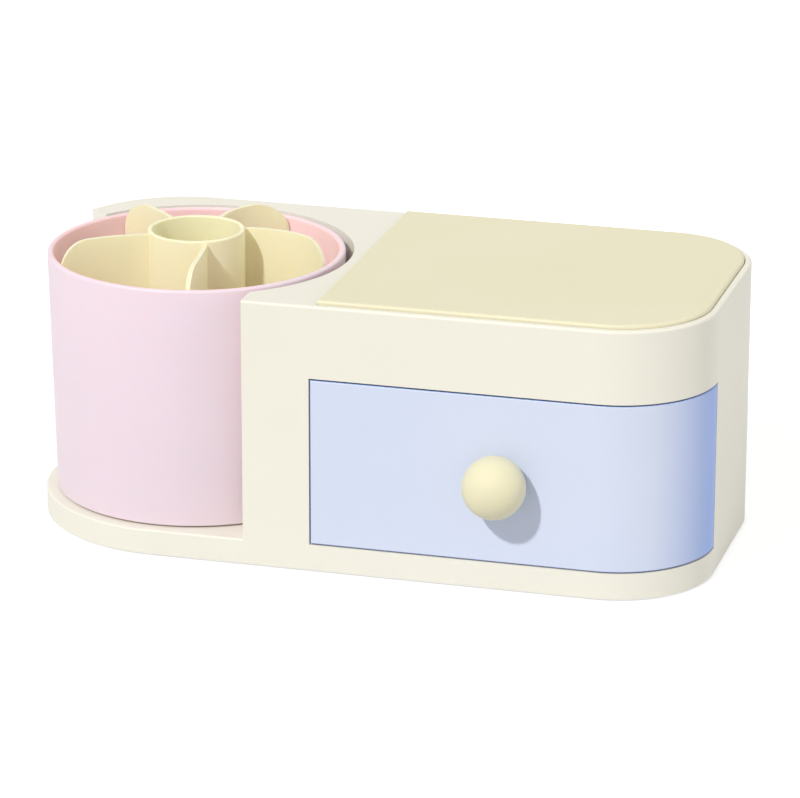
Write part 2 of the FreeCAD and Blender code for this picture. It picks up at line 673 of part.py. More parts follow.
def drawer_prism(inset, z_low, z_high):
    """Plan of the drawer's tray: its front follows the body's rounded corner."""
    left = FRONT_LEFT + inset
    right = BODY_RIGHT - DRAWER_INSET - inset
    front = DRAWER_INSET + inset - BODY_FRONT
    back = DRAWER_BACK - inset
    small = DRAWER_SMALL_CORNER - inset
    wire = rounded_wire((
        (left, front, small),
        (right, front, CORNER_FRONT_RIGHT - DRAWER_INSET - inset),
        (right, back, DRAWER_BACK_CORNER - inset),
        (left, back, small),
    ))
    return extrude(wire, z_low, z_high)


def front_screw_places():
    """X and Z of the screws that hold the drawer's front, all on its flat stretch."""
    left = FRONT_LEFT + FRONT_SCREW_MARGIN
    right = BODY_RIGHT - CORNER_FRONT_RIGHT - FRONT_SCREW_RIGHT_MARGIN
    low = FRONT_UNDER + FRONT_SCREW_MARGIN
    high = DRAWER_WALL_TOP - FRONT_SCREW_MARGIN
    return [(x, z) for x in (left, right) for z in (low, high)]


def rod_back(radius, x, z, y_front, y_back):
    """Round bar or hole that runs straight back."""
    return Part.makeCylinder(radius, y_back - y_front, point(x, y_front, z), point(0.0, 1.0, 0.0))


def drawer_tray():
    tray = drawer_prism(0.0, DRAWER_UNDER, DRAWER_WALL_TOP)
    hollow = drawer_prism(DRAWER_WALL, DRAWER_FLOOR_TOP, DRAWER_WALL_TOP)
    hollow = hollow.makeFillet(DRAWER_INNER_ROUND, edges_at(hollow, DRAWER_FLOOR_TOP))
    tray = tray.cut(hollow)
    left = FRONT_CENTRE_X - CATCH_WIDTH / 2.0
    catch_top = TRAY_UNDER - CATCH_GAP
    catch = block(left, left + CATCH_WIDTH, CATCH_FRONT, DRAWER_BACK, DRAWER_WALL_TOP, catch_top)
    tray = tray.fuse(catch)
    front = DRAWER_INSET - BODY_FRONT - OVERRUN
    hole_radius = FRONT_BOSS_RADIUS + FRONT_BOSS_CLEARANCE
    for x, z in front_screw_places():
        tray = tray.cut(rod_back(hole_radius, x, z, front, DRAWER_FRONT_INNER))
    tray = tray.cut(rod_back(SCREW_THROUGH, FRONT_CENTRE_X, FRONT_CENTRE_Z, front, DRAWER_FRONT_INNER))
    return tray.removeSplitter()


def drawer_front():
    """Front panel: flat, then wrapped round the body's right front corner, with screw bosses behind."""
    panel = body_prism(0.0, FRONT_UNDER, FRONT_TOP).cut(body_prism(FRONT_THICK, FRONT_UNDER, FRONT_TOP))
    corner_end = FRONT_ARC_END - DRAWER_GAP_CORNER
    panel = panel.common(block(FRONT_LEFT, FAR, -FAR, corner_end, FRONT_UNDER, FRONT_TOP))
    panel = panel.makeFillet(FRONT_EDGE_ROUND, outer_edges(panel))
    back = FRONT_THICK - BODY_FRONT
    boss_end = DRAWER_FRONT_INNER - FRONT_BOSS_CLEARANCE
    for x, z in front_screw_places():
        panel = panel.fuse(rod_back(FRONT_BOSS_RADIUS, x, z, back, boss_end))
    for x, z in front_screw_places():
        panel = panel.cut(rod_back(SCREW_PILOT, x, z, back - FRONT_SCREW_DEPTH, boss_end))
    panel = panel.cut(rod_back(SCREW_THROUGH, FRONT_CENTRE_X, FRONT_CENTRE_Z, -BODY_FRONT, back))
    return panel.removeSplitter()


def outer_edges(panel):
    """Edges round the panel's visible face."""
    rim = body_prism(FRONT_THICK / 2.0, FRONT_UNDER - OVERRUN, FRONT_TOP + OVERRUN)
    found = []
    for edge in panel.Edges:
        mid = edge.valueAt((edge.FirstParameter + edge.LastParameter) / 2.0)
        if not rim.isInside(mid, 1e-6, True) and on_outer_face(edge):
            found.append(edge)
    return found


def on_outer_face(edge):
    """True where both ends of an edge lie on the body's outline."""
    skin = body_prism(0.0, FRONT_UNDER - OVERRUN, FRONT_TOP + OVERRUN)
    for vertex in edge.Vertexes:
        if skin.Shells[0].distToShape(Part.Vertex(vertex.Point))[0] > 1e-5:
            return False
    return True


def pan_screw(x, z, seat, tip):
    """Round-headed screw that runs forward from its seat."""
    head = rod_back(PAN_HEAD_RADIUS, x, z, seat, seat + PAN_HEAD_THICK)
    rim = [edge for edge in head.Edges if abs(edge.BoundBox.YMin - seat - PAN_HEAD_THICK) < 1e-4]
    head = head.makeFillet(PAN_HEAD_ROUND, rim)
    return head.fuse(rod_back(SCREW_RADIUS, x, z, tip, seat))


def drawer_front_screws():
    tip = FRONT_THICK - FRONT_SCREW_DEPTH - BODY_FRONT + SCREW_TIP_ROOM
    return group([pan_screw(x, z, DRAWER_FRONT_INNER, tip) for x, z in front_screw_places()])


def knob():
    """Ball knob with a flat where it meets the drawer's front."""
    centre_y = -BODY_FRONT - KNOB_STANDS_OUT
    ball = Part.makeSphere(KNOB_RADIUS, point(FRONT_CENTRE_X, centre_y, FRONT_CENTRE_Z))
    ball = ball.cut(block(-FAR, FAR, -BODY_FRONT, FAR, -FAR, FAR))
    bore_front = -BODY_FRONT - KNOB_BORE_DEPTH
    return ball.cut(rod_back(SCREW_PILOT, FRONT_CENTRE_X, FRONT_CENTRE_Z, bore_front, -BODY_FRONT))


def knob_screw():
    tip = -BODY_FRONT - KNOB_BORE_DEPTH + SCREW_TIP_ROOM
    return pan_screw(FRONT_CENTRE_X, FRONT_CENTRE_Z, DRAWER_FRONT_INNER, tip)


def stop_place():
    return point(FRONT_CENTRE_X, STOP_BACK - STOP_DEPTH / 2.0)


def top_tray():
    """Drop-in tray that closes the drawer bay from above and carries the lid on its rim."""
    tray = right_part(TRAY_INSET, TRAY_LEFT, TRAY_UNDER, LID_UNDER)
    hollow = right_part(TRAY_INSET + TRAY_WALL, TRAY_LEFT + TRAY_WALL, TRAY_FLOOR_TOP, LID_UNDER)
    hollow = hollow.makeFillet(TRAY_INNER_ROUND, edges_at(hollow, TRAY_FLOOR_TOP))
    tray = tray.cut(hollow)
    for at in tray_screw_places() + [stop_place()]:
        tray = tray.cut(sink_down(at.x, at.y, TRAY_FLOOR_TOP, TRAY_UNDER))
    return tray


def top_tray_screws():
    places = tray_screw_places()
    return group([screw_down(at.x, at.y, TRAY_FLOOR_TOP, TRAY_LEDGE_UNDER) for at in places])


def drawer_stop():
    """Block under the top tray that the drawer's rear catch meets at full travel."""
    at = stop_place()
    half = STOP_WIDTH / 2.0
    low = TRAY_UNDER - STOP_HEIGHT
    body = block(at.x - half, at.x + half, STOP_BACK - STOP_DEPTH, STOP_BACK, low, TRAY_UNDER)
    body = body.makeFillet(STOP_EDGE_ROUND, edges_at(body, low))
    return body.cut(disc(SCREW_PILOT, low, TRAY_UNDER, at.x, at.y))


def drawer_stop_screw():
    at = stop_place()
    return screw_down(at.x, at.y, TRAY_FLOOR_TOP, TRAY_UNDER - STOP_HEIGHT + SCREW_TIP_ROOM)


def top_lid():
    """Lift-off lid: rounded plate with a locating lip and two ribs underneath."""
    plate = right_part(LID_INSET, LID_LEFT, LID_UNDER, LID_TOP)
    plate = plate.makeFillet(LID_EDGE_ROUND, edges_at(plate, LID_TOP))
    lip_inset = TRAY_INSET + TRAY_WALL + LID_LIP_CLEARANCE
    lip_left = TRAY_LEFT + TRAY_WALL + LID_LIP_CLEARANCE
    lip_low = LID_UNDER - LID_LIP_DEPTH
    lip = right_part(lip_inset, lip_left, lip_low, LID_UNDER)
    inner = right_part(lip_inset + LID_LIP_WALL, lip_left + LID_LIP_WALL, lip_low, LID_TOP - LID_PLATE)
    lid = plate.fuse(lip).cut(inner)
    step = (BODY_RIGHT - LID_INSET - LID_LEFT) / (LID_RIB_COUNT + 1.0)
    for number in range(LID_RIB_COUNT):
        low = LID_LEFT + step * (number + 1) - LID_RIB_THICK / 2.0
        rib = block(low, low + LID_RIB_THICK, -FAR, FAR, LID_UNDER, LID_TOP - LID_PLATE)
        lid = lid.fuse(rib.common(inner))
    return lid.removeSplitter()


PIECES = {
    "housing": housing,
    "base_cover": base_cover,
    "base_cover_screws": base_cover_screws,
    "rubber_feet": rubber_feet,
    "lower_race": lower_race,
    "lower_race_screws": lower_race_screws,
    "ball_cage": ball_cage,
    "bearing_balls": bearing_balls,
    "upper_race": upper_race,
    "upper_race_screws": upper_race_screws,
    "brush_cup": brush_cup,
    "pivot_bush": pivot_bush,
    "pivot_washer": pivot_washer,
    "pivot_screw": pivot_screw,
    "divider_insert": divider_insert,
    "drawer_tray": drawer_tray,
    "drawer_front": drawer_front,
    "drawer_front_screws": drawer_front_screws,
    "knob": knob,
    "knob_screw": knob_screw,
    "top_tray": top_tray,
    "top_tray_screws": top_tray_screws,
    "drawer_stop": drawer_stop,
    "drawer_stop_screw": drawer_stop_screw,
    "top_lid": top_lid,
}


def main():
    os.makedirs("parts", exist_ok=True)
    for name, make in PIECES.items():
        shape = make()
        shape.translate(FRAME_SHIFT)
        if not shape.isValid():
            raise ValueError(name + " is not a valid shape")
        shape.exportStep(os.path.join("parts", name + ".step"))
        print(name, len(shape.Solids), round(shape.Volume, 1), shape.BoundBox)


main()
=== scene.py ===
import json
import math

import bmesh
import bpy
from mathutils import Matrix, Quaternion, Vector


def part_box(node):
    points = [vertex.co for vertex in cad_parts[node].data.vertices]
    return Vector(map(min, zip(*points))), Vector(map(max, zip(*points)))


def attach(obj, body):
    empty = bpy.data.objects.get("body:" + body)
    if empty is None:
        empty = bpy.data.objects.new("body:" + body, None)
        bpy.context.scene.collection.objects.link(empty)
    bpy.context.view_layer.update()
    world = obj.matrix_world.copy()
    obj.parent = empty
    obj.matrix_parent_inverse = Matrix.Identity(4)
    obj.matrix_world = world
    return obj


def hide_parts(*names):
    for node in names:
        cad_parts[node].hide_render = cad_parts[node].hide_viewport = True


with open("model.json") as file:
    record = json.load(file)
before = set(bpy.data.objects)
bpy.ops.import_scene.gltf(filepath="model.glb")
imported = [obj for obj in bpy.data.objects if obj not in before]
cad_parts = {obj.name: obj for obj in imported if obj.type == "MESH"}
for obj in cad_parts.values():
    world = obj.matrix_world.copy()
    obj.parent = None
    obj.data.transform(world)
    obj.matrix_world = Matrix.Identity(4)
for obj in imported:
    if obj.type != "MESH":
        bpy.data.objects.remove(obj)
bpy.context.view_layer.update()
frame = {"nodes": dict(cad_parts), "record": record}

# Turning brush holder: a divided cup on a bearing, beside a drawer under a lidded tray.
# Everything is in metres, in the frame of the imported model.
bl_info = {
    "name": "Turning Brush Holder",
    "version": (1, 0, 0),
    "blender": (4, 5, 0),
    "location": "3D View > Sidebar > Brush Holder",
    "description": "Dresses a turning brush holder with a drawer and a lidded tray",
    "category": "Object",
}

NODES = frame["nodes"]
MM = 0.001

UP, DOWN, BACK = (0.0, 0.0, 1.0), (0.0, 0.0, -1.0), (0.0, 1.0, 0.0)

# Cup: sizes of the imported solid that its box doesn't give, its gap round the bush, and the rounding
# of its corners
CUP_WALL = 2.4 * MM
CUP_TAPER = 2.0 * MM
CUP_FLOOR = 2.2 * MM
HUB_GAP = 0.05 * MM
CUP_RIM_ROUND = 1.0 * MM
CUP_FOOT_ROUND = 0.6 * MM
CUP_SKIRT_ROUND = 0.2 * MM
CUP_FLOOR_ROUND = 0.45 * MM
CUP_SEGMENTS = 192

# Countersunk holes in the cup's floor: a hole's radius, the room round a screw's head, the extra
# radius of the cutter above the floor, and how far the cutter stands past both faces
SINK_HOLE = 1.3 * MM
SINK_ROOM = 0.1 * MM
SINK_MOUTH = 0.5 * MM
SINK_PAST = 0.4 * MM
SINK_SEGMENTS = 32

# Knob and balls: steps along their outlines, and the half width of the knob's seam in degrees
KNOB_STEPS = 64
KNOB_SEAM_WIDTH = 1.1
BALL_STEPS = 16
BALL_SEGMENTS = 32

# Feet: where their ring grooves start and how wide they are, as shares of a foot's radius
RING_STARTS = (0.34, 0.62)
RING_WIDTH = 0.12
RING_ROUND = 0.05 * MM
FOOT_ROUND = 0.4 * MM
FOOT_SEGMENTS = 64

# Screws: thickness of flat sunk heads and of domed pan heads, the thread and the tip, and the shares
# by which the cross reaches across a head, narrows at its foot, and its cutter stands above the head
SUNK_HEAD_THICK = 1.3 * MM
PAN_HEAD_THICK = 1.6 * MM
THREAD_RADIUS = 1.2 * MM
THREAD_PITCH = 0.8 * MM
THREAD_CORE = 0.84
THREAD_END = 0.6 * MM
TIP_LENGTH = 0.3 * MM
RECESS_SPAN = 0.62
RECESS_FOOT_REACH = 0.35
RECESS_FOOT_WIDTH = 0.6
RECESS_ABOVE = 0.3
SCREW_SEGMENTS = 36

# Packed screws by the piece that stands for them; the screws of a piece ride on one body
SCREW_NODES = {
    "screws_base": ("base_cover_screws", "lower_race_screws", "top_tray_screws", "drawer_stop_screw"),
    "screws_cup": ("upper_race_screws",),
    "screws_drawer": ("drawer_front_screws", "knob_screw"),
}


def shade(red, green, blue):
    """A colour as it looks on screen, each channel from 0 to 255."""
    return (red / 255.0, green / 255.0, blue / 255.0)


def linear(colour):
    """Screen colour to the linear colour that shader sockets take."""
    def channel(value):
        return value / 12.92 if value <= 0.04045 else ((value + 0.055) / 1.055) ** 2.4
    return tuple(channel(value) for value in colour) + (1.0,)


def tint(label, colour, about):
    """Property for a colour as it looks on screen."""
    return bpy.props.FloatVectorProperty(
        name=label, description=about, subtype="COLOR_GAMMA", size=3, min=0.0, max=1.0,
        default=colour)


def length(label, value, about):
    """Property for a size in metres."""
    return bpy.props.FloatProperty(
        name=label, description=about, unit="LENGTH", subtype="DISTANCE", min=0.0, default=value)


# Sizes and colours a user would change

class HolderColours(bpy.types.PropertyGroup):
    """Colours of the moulded pieces, as they look on screen."""
    shell: tint("Shell", shade(235, 232, 219), "Ivory of the body, its base and its top tray")
    lid: tint("Lid", shade(228, 222, 191), "Pale cream of the lid")
    front: tint("Drawer front", shade(209, 217, 237), "Powder blue of the drawer's front")
    # Painted shade: a deeper blue mixed into the drawer's front where it turns away from the view,
    # standing in for the shade on its wrapped corner
    front_painted_shade: tint(
        "Drawer front, grazing", shade(146, 175, 237),
        "Deeper blue of the drawer's front where it turns away")
    drawer: tint("Drawer tray", shade(238, 236, 228), "Off-white of the drawer behind its front")
    knob: tint("Knob", shade(229, 223, 190), "Butter yellow of the ball knob")
    cup: tint("Cup", shade(234, 217, 227), "Pink of the turning cup")
    # Painted shade: a warmer pink painted on the cup's inner wall and floor, standing in for the
    # shade and warm bounced light inside the cup
    cup_inside_shade: tint("Cup inside", shade(255, 216, 221), "Warmer pink of the cup's inner wall")
    divider: tint("Divider", shade(246, 240, 204), "Yellow of the lift-out divider")
    nylon: tint("Nylon", shade(226, 222, 208), "Natural nylon of the cage, bush and drawer stop")
    race: tint("Races", shade(232, 231, 226), "White of the two bearing races")
    rubber: tint("Feet", shade(96, 95, 94), "Grey rubber of the feet")
    steel: tint("Steel", shade(186, 186, 188), "Zinc-plated steel of the screws")
    balls: tint("Balls", shade(205, 205, 208), "Polished steel of the bearing's balls")


class HolderSizes(bpy.types.PropertyGroup):
    """Sizes of the small turned and repeated pieces."""
    seam_depth: length("Knob seam depth", 0.04 * MM, "Depth of the fine seam round the knob's middle")
    foot_groove: length("Foot groove", 0.25 * MM, "Depth of the ring grooves under each rubber foot")
    recess_width: length("Recess width", 0.75 * MM, "Width of the cross's arms in a screw's head")
    recess_depth: length("Recess depth", 0.9 * MM, "Depth of the cross in a screw's head")
    turn_segments: bpy.props.IntProperty(
        name="Turning segments", description="Steps round the turned knob", min=24, max=256,
        default=128)
    seed: bpy.props.IntProperty(
        name="Seed", description="Fixed seed for the way each screw's cross is turned", default=11)


def colours():
    """The colours set in the scene."""
    return bpy.context.scene.holder_colours


def sizes():
    """The sizes set in the scene."""
    return bpy.context.scene.holder_sizes


# Helpers for node trees

MADE = {}


def once(make):
    """What a maker gives: it is called the first time only, and kept for the next."""
    if make not in MADE:
        MADE[make] = make()
    return MADE[make]


# Sockets by place, because their names repeat: the colours of a Mix node, and the number that a
# Random Value node puts out
MIX_FIRST, MIX_SECOND, MIX_RESULT = 6, 7, 2
RANDOM_FLOAT = 1


def new_group(name, inputs, outputs, kind="ShaderNodeTree"):
    """Empty node group with typed inputs (name, type, default) and outputs (name, type)."""
    tree = bpy.data.node_groups.new(name, kind)
    for label, sort, value in inputs:
        socket = tree.interface.new_socket(label, in_out="INPUT", socket_type=sort)
        if value is not None:
            socket.default_value = value
    for label, sort in outputs:
        tree.interface.new_socket(label, in_out="OUTPUT", socket_type=sort)
    return tree, tree.nodes.new("NodeGroupInput"), tree.nodes.new("NodeGroupOutput")


def node(tree, kind, values=None, **settings):
    """New node with its settings, and plain values or other nodes' sockets for its inputs."""
    made = tree.nodes.new(kind)
    for key, value in settings.items():
        setattr(made, key, value)
    for key, value in (values or {}).items():
        if isinstance(value, bpy.types.NodeSocket):
            tree.links.new(value, made.inputs[key])
        else:
            made.inputs[key].default_value = value
    return made


def noise(tree, vector, scale, detail, roughness=0.5, distortion=0.0):
    """Noise over a vector."""
    return node(tree, "ShaderNodeTexNoise", {
        "Vector": vector, "Scale": scale, "Detail": detail, "Roughness": roughness,
        "Distortion": distortion}).outputs["Fac"]


def spread(tree, value, low, high, out_low, out_high):
    """Maps a value from one range to another."""
    return node(tree, "ShaderNodeMapRange", {
        "Value": value, "From Min": low, "From Max": high, "To Min": out_low,
        "To Max": out_high}).outputs["Result"]


def reckon(tree, operation, first, second):
    """Arithmetic between sockets or plain numbers."""
    return node(tree, "ShaderNodeMath", {0: first, 1: second}, operation=operation).outputs["Value"]


def whole(tree, operation, first, second):
    """Arithmetic between whole numbers."""
    made = node(tree, "FunctionNodeIntegerMath", {0: first, 1: second}, operation=operation)
    return made.outputs["Value"]


def blended(tree, share, first, second):
    """Mix of two colours, each a colour on screen or a socket."""
    first, second = (value if isinstance(value, bpy.types.NodeSocket) else linear(value)
                     for value in (first, second))
    mix = node(tree, "ShaderNodeMix", {
        "Factor": share, MIX_FIRST: first, MIX_SECOND: second}, data_type="RGBA")
    return mix.outputs[MIX_RESULT]


# Shader node groups shared by several finishes

# Scales of the noises, in features to the metre
FLOW_SCALE = 9.0
CLOUD_SCALE = 70.0
SMUDGE_SCALE = 28.0
HAIRLINE_SCALE = (60.0, 900.0, 900.0)
RIPPLE_SCALE = 45.0
SCUFF_SCALE = 320.0
BLOTCH_SCALE = 420.0
DUST_SCALE = 1400.0
TURNING_SCALE = 3800.0
# A noise lies mostly in the first span; hairlines and scuffs are its higher parts alone
NOISE_SPAN = (0.3, 0.7)
HAIRLINE_SPAN = (0.62, 0.8)
SCUFF_SPAN = (0.48, 0.7)
BLOTCH_SPAN = (0.35, 0.65)
# Shares of the broad flow and the fine clouds in a moulded colour, of hairlines in a smudge, and of
# grain against ripples; and the saturation where the flow is thin and where it is thick
FLOW_SHARE = 0.7
CLOUD_SHARE = 0.3
HAIRLINE_SHARE = 0.6
GRAIN_SHARE = 0.35
SATURATIONS = (1.04, 0.96)
SCUFF_COLOUR = shade(176, 170, 158)
# Half the width of the soft line between the cup's outer colour and the painted shade colour of its
# inside
CUP_SHADE_BLEND = 0.3 * MM


def mould_drift():
    """Faint colour drift of a moulded piece: broad flow of the melt and finer clouding."""
    tree, into, out = new_group("mould_drift", (
        ("Vector", "NodeSocketVector", None), ("Color", "NodeSocketColor", None),
        ("Amount", "NodeSocketFloat", 0.03)), (("Color", "NodeSocketColor"),))
    where = into.outputs["Vector"]
    broad = noise(tree, where, FLOW_SCALE, detail=2.0, distortion=0.6)
    fine = noise(tree, where, CLOUD_SCALE, detail=3.0, roughness=0.55)
    flow = reckon(tree, "MULTIPLY", broad, FLOW_SHARE)
    clouds = reckon(tree, "MULTIPLY", fine, CLOUD_SHARE)
    low = reckon(tree, "SUBTRACT", 1.0, into.outputs["Amount"])
    high = reckon(tree, "ADD", 1.0, into.outputs["Amount"])
    level = spread(tree, reckon(tree, "ADD", flow, clouds), *NOISE_SPAN, low, high)
    mix = node(tree, "ShaderNodeHueSaturation", {
        "Color": into.outputs["Color"], "Value": level,
        "Saturation": spread(tree, broad, *NOISE_SPAN, *SATURATIONS)})
    tree.links.new(mix.outputs["Color"], out.inputs["Color"])
    return tree


def handled():
    """Roughness of a handled surface: soft smudges, and fine hairlines along one way."""
    tree, into, out = new_group("handled", (
        ("Vector", "NodeSocketVector", None), ("Roughness", "NodeSocketFloat", 0.35),
        ("Smudge", "NodeSocketFloat", 0.06)), (("Roughness", "NodeSocketFloat"),))
    where, smudge = into.outputs["Vector"], into.outputs["Smudge"]
    cloud = noise(tree, where, SMUDGE_SCALE, detail=4.0, roughness=0.6, distortion=0.8)
    stretch = node(tree, "ShaderNodeMapping", {"Vector": where, "Scale": HAIRLINE_SCALE})
    hair = noise(tree, stretch.outputs["Vector"], 1.0, detail=2.0, roughness=0.6)
    shift = spread(tree, cloud, *NOISE_SPAN, reckon(tree, "MULTIPLY", smudge, -1.0), smudge)
    lines = reckon(tree, "MULTIPLY", spread(tree, hair, *HAIRLINE_SPAN, 0.0, HAIRLINE_SHARE), smudge)
    total = reckon(tree, "ADD", reckon(tree, "ADD", into.outputs["Roughness"], shift), lines)
    tree.links.new(total, out.inputs["Roughness"])
    return tree


def mould_grain():
    """Height of the fine eroded texture that a steel mould leaves, with a few broader ripples."""
    tree, into, out = new_group("mould_grain", (
        ("Vector", "NodeSocketVector", None), ("Fineness", "NodeSocketFloat", 2200.0)),
        (("Height", "NodeSocketFloat"),))
    where = into.outputs["Vector"]
    grain = noise(tree, where, into.outputs["Fineness"], detail=3.0, roughness=0.55)
    ripple = noise(tree, where, RIPPLE_SCALE, detail=1.0)
    total = reckon(tree, "ADD", reckon(tree, "MULTIPLY", grain, GRAIN_SHARE), ripple)
    tree.links.new(total, out.inputs["Height"])
    return tree


def rubbed_foot():
    """Scuffs low down, where the holder is pushed about on a table: more towards the floor."""
    tree, into, out = new_group("rubbed_foot", (
        ("Vector", "NodeSocketVector", None), ("Color", "NodeSocketColor", None),
        ("Reach", "NodeSocketFloat", 5.0 * MM), ("Amount", "NodeSocketFloat", 0.12)),
        (("Color", "NodeSocketColor"),))
    split = node(tree, "ShaderNodeSeparateXYZ", {"Vector": into.outputs["Vector"]})
    low = spread(tree, split.outputs["Z"], 0.0, into.outputs["Reach"], 1.0, 0.0)
    rubbed = noise(tree, into.outputs["Vector"], SCUFF_SCALE, detail=5.0, roughness=0.7)
    patches = spread(tree, rubbed, *SCUFF_SPAN, 0.0, 1.0)
    share = reckon(tree, "MULTIPLY", reckon(tree, "MULTIPLY", low, patches), into.outputs["Amount"])
    tree.links.new(blended(tree, share, into.outputs["Color"], SCUFF_COLOUR), out.inputs["Color"])
    return tree


def inside_cup_shade():
    """Mask of the painted shade inside the cup: 1 on the cup's inner wall and floor, 0 on its
    outside; the change lies in the wall's middle.
    """
    tree, into, out = new_group("inside_cup_shade", (("Vector", "NodeSocketVector", None),), (
        ("Inside", "NodeSocketFloat"),))
    low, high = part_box("brush_cup")
    centre = (low + high) / 2.0
    top = (high.x - low.x) / 2.0 - CUP_WALL / 2.0
    slope = CUP_TAPER / (high.z - low.z)
    split = node(tree, "ShaderNodeSeparateXYZ", {"Vector": into.outputs["Vector"]})
    across = reckon(tree, "POWER", reckon(tree, "SUBTRACT", split.outputs["X"], centre.x), 2.0)
    along = reckon(tree, "POWER", reckon(tree, "SUBTRACT", split.outputs["Y"], centre.y), 2.0)
    radius = reckon(tree, "SQRT", reckon(tree, "ADD", across, along), 0.0)
    drop = reckon(tree, "SUBTRACT", high.z, split.outputs["Z"])
    limit = reckon(tree, "SUBTRACT", top, reckon(tree, "MULTIPLY", drop, slope))
    depth = reckon(tree, "SUBTRACT", limit, radius)
    tree.links.new(spread(tree, depth, -CUP_SHADE_BLEND, CUP_SHADE_BLEND, 0.0, 1.0), out.inputs["Inside"])
    return tree


# Finishes

# How much the colour of moulded plastic and of rubber drifts
DRIFT = 0.012
RUBBER_DRIFT = 0.05
# How far light spreads inside soft plastic
SPREAD_DEPTH = 3.0 * MM
# Plated steel: its blotches' shade, and how far turned marks shift its roughness
BLOTCH_SHADE = 0.95
MARKS_SMOOTHER, MARKS_ROUGHER = 0.08, 0.1
# Roughness of rubber between its dusty and its clean parts
RUBBER_ROUGHNESS = (0.62, 0.85)
# Strength of every bump, and the full heights of the textures
BUMP_STRENGTH = 0.6
GRAIN_HEIGHT = 0.012 * MM
MARKS_HEIGHT = 0.004 * MM
DUST_HEIGHT = 0.04 * MM
# Range of the Facing value over which a finish turns to its painted shade colour, a deeper tint that
# stands in for shade where a surface turns away from the view
PAINTED_SHADE_FACING = (0.12, 0.66)


def shared(tree, make, values):
    """One of the shared groups in a material, with its values."""
    return node(tree, "ShaderNodeGroup", values, node_tree=once(make))


def blank_material(name):
    """New material: itself, its tree, its shader and its Object coordinates."""
    made = bpy.data.materials.new(name)
    made.use_nodes = True
    tree = made.node_tree
    surface = tree.nodes["Principled BSDF"]
    where = tree.nodes.new("ShaderNodeTexCoord").outputs["Object"]
    return made, tree, surface, where


def bumped(tree, surface, height, distance):
    """Bump from a height of 0 to 1, whose full height is a distance in metres."""
    bump = node(tree, "ShaderNodeBump", {
        "Strength": BUMP_STRENGTH, "Distance": distance, "Height": height})
    tree.links.new(bump.outputs["Normal"], surface.inputs["Normal"])


def moulded(name, colour, roughness, smudge=0.05, grain=GRAIN_HEIGHT, fineness=2200.0,
            soft=0.0, reach=(1.0, 0.7, 0.5), scuffed=False, edge=None, inside=None):
    """Injection-moulded plastic with drift in its colour, smudges in its gloss and a fine grain.
    Reach is how far red, green and blue light spread in it. Edge is painted shade: a deeper colour
    mixed in where the surface is seen at a grazing angle. Inside is painted shade: a warmer colour on
    the cup's inner wall and floor."""
    made, tree, surface, where = blank_material(name)
    tone = node(tree, "ShaderNodeRGB")
    tone.outputs[0].default_value = linear(colour)
    base = tone.outputs[0]
    # Painted shade: a deeper colour mixed in by how far the surface turns away from the view
    if edge:
        weight = node(tree, "ShaderNodeLayerWeight", {"Blend": 0.5})
        painted_shade_share = spread(tree, weight.outputs["Facing"], *PAINTED_SHADE_FACING, 0.0, 1.0)
        base = blended(tree, painted_shade_share, base, edge)
    # Painted shade: a warmer colour painted on the cup's inner wall and floor
    if inside:
        inside_shade_mask = shared(tree, inside_cup_shade, {"Vector": where})
        base = blended(tree, inside_shade_mask.outputs["Inside"], base, inside)
    drifted = shared(tree, mould_drift, {
        "Vector": where, "Color": base, "Amount": DRIFT}).outputs["Color"]
    if scuffed:
        drifted = shared(tree, rubbed_foot, {
            "Vector": where, "Color": drifted}).outputs["Color"]
    tree.links.new(drifted, surface.inputs["Base Color"])
    gloss = shared(tree, handled, {
        "Vector": where, "Roughness": roughness, "Smudge": smudge})
    tree.links.new(gloss.outputs["Roughness"], surface.inputs["Roughness"])
    texture = shared(tree, mould_grain, {"Vector": where, "Fineness": fineness})
    bumped(tree, surface, texture.outputs["Height"], grain)
    surface.inputs["Subsurface Weight"].default_value = soft
    surface.inputs["Subsurface Radius"].default_value = reach
    surface.inputs["Subsurface Scale"].default_value = SPREAD_DEPTH
    return made


def plated(name, colour, roughness=0.3):
    """Plated steel: turned marks in its roughness and a faint blotch in its colour."""
    made, tree, surface, where = blank_material(name)
    blotch = noise(tree, where, BLOTCH_SCALE, detail=3.0, roughness=0.6)
    duller = tuple(BLOTCH_SHADE * value for value in colour)
    tone = blended(tree, spread(tree, blotch, *BLOTCH_SPAN, 0.0, 1.0), colour, duller)
    tree.links.new(tone, surface.inputs["Base Color"])
    marks = noise(tree, where, TURNING_SCALE, detail=2.0)
    gloss = spread(tree, marks, *NOISE_SPAN, roughness - MARKS_SMOOTHER, roughness + MARKS_ROUGHER)
    tree.links.new(gloss, surface.inputs["Roughness"])
    bumped(tree, surface, marks, MARKS_HEIGHT)
    surface.inputs["Metallic"].default_value = 1.0
    return made


def rubber(name, colour):
    """Matt rubber with dust in its pores."""
    made, tree, surface, where = blank_material(name)
    tone = node(tree, "ShaderNodeRGB")
    tone.outputs[0].default_value = linear(colour)
    drifted = shared(tree, mould_drift, {
        "Vector": where, "Color": tone.outputs[0], "Amount": RUBBER_DRIFT}).outputs["Color"]
    tree.links.new(drifted, surface.inputs["Base Color"])
    dust = noise(tree, where, DUST_SCALE, detail=4.0, roughness=0.65)
    tree.links.new(spread(tree, dust, *NOISE_SPAN, *RUBBER_ROUGHNESS), surface.inputs["Roughness"])
    bumped(tree, surface, dust, DUST_HEIGHT)
    return made


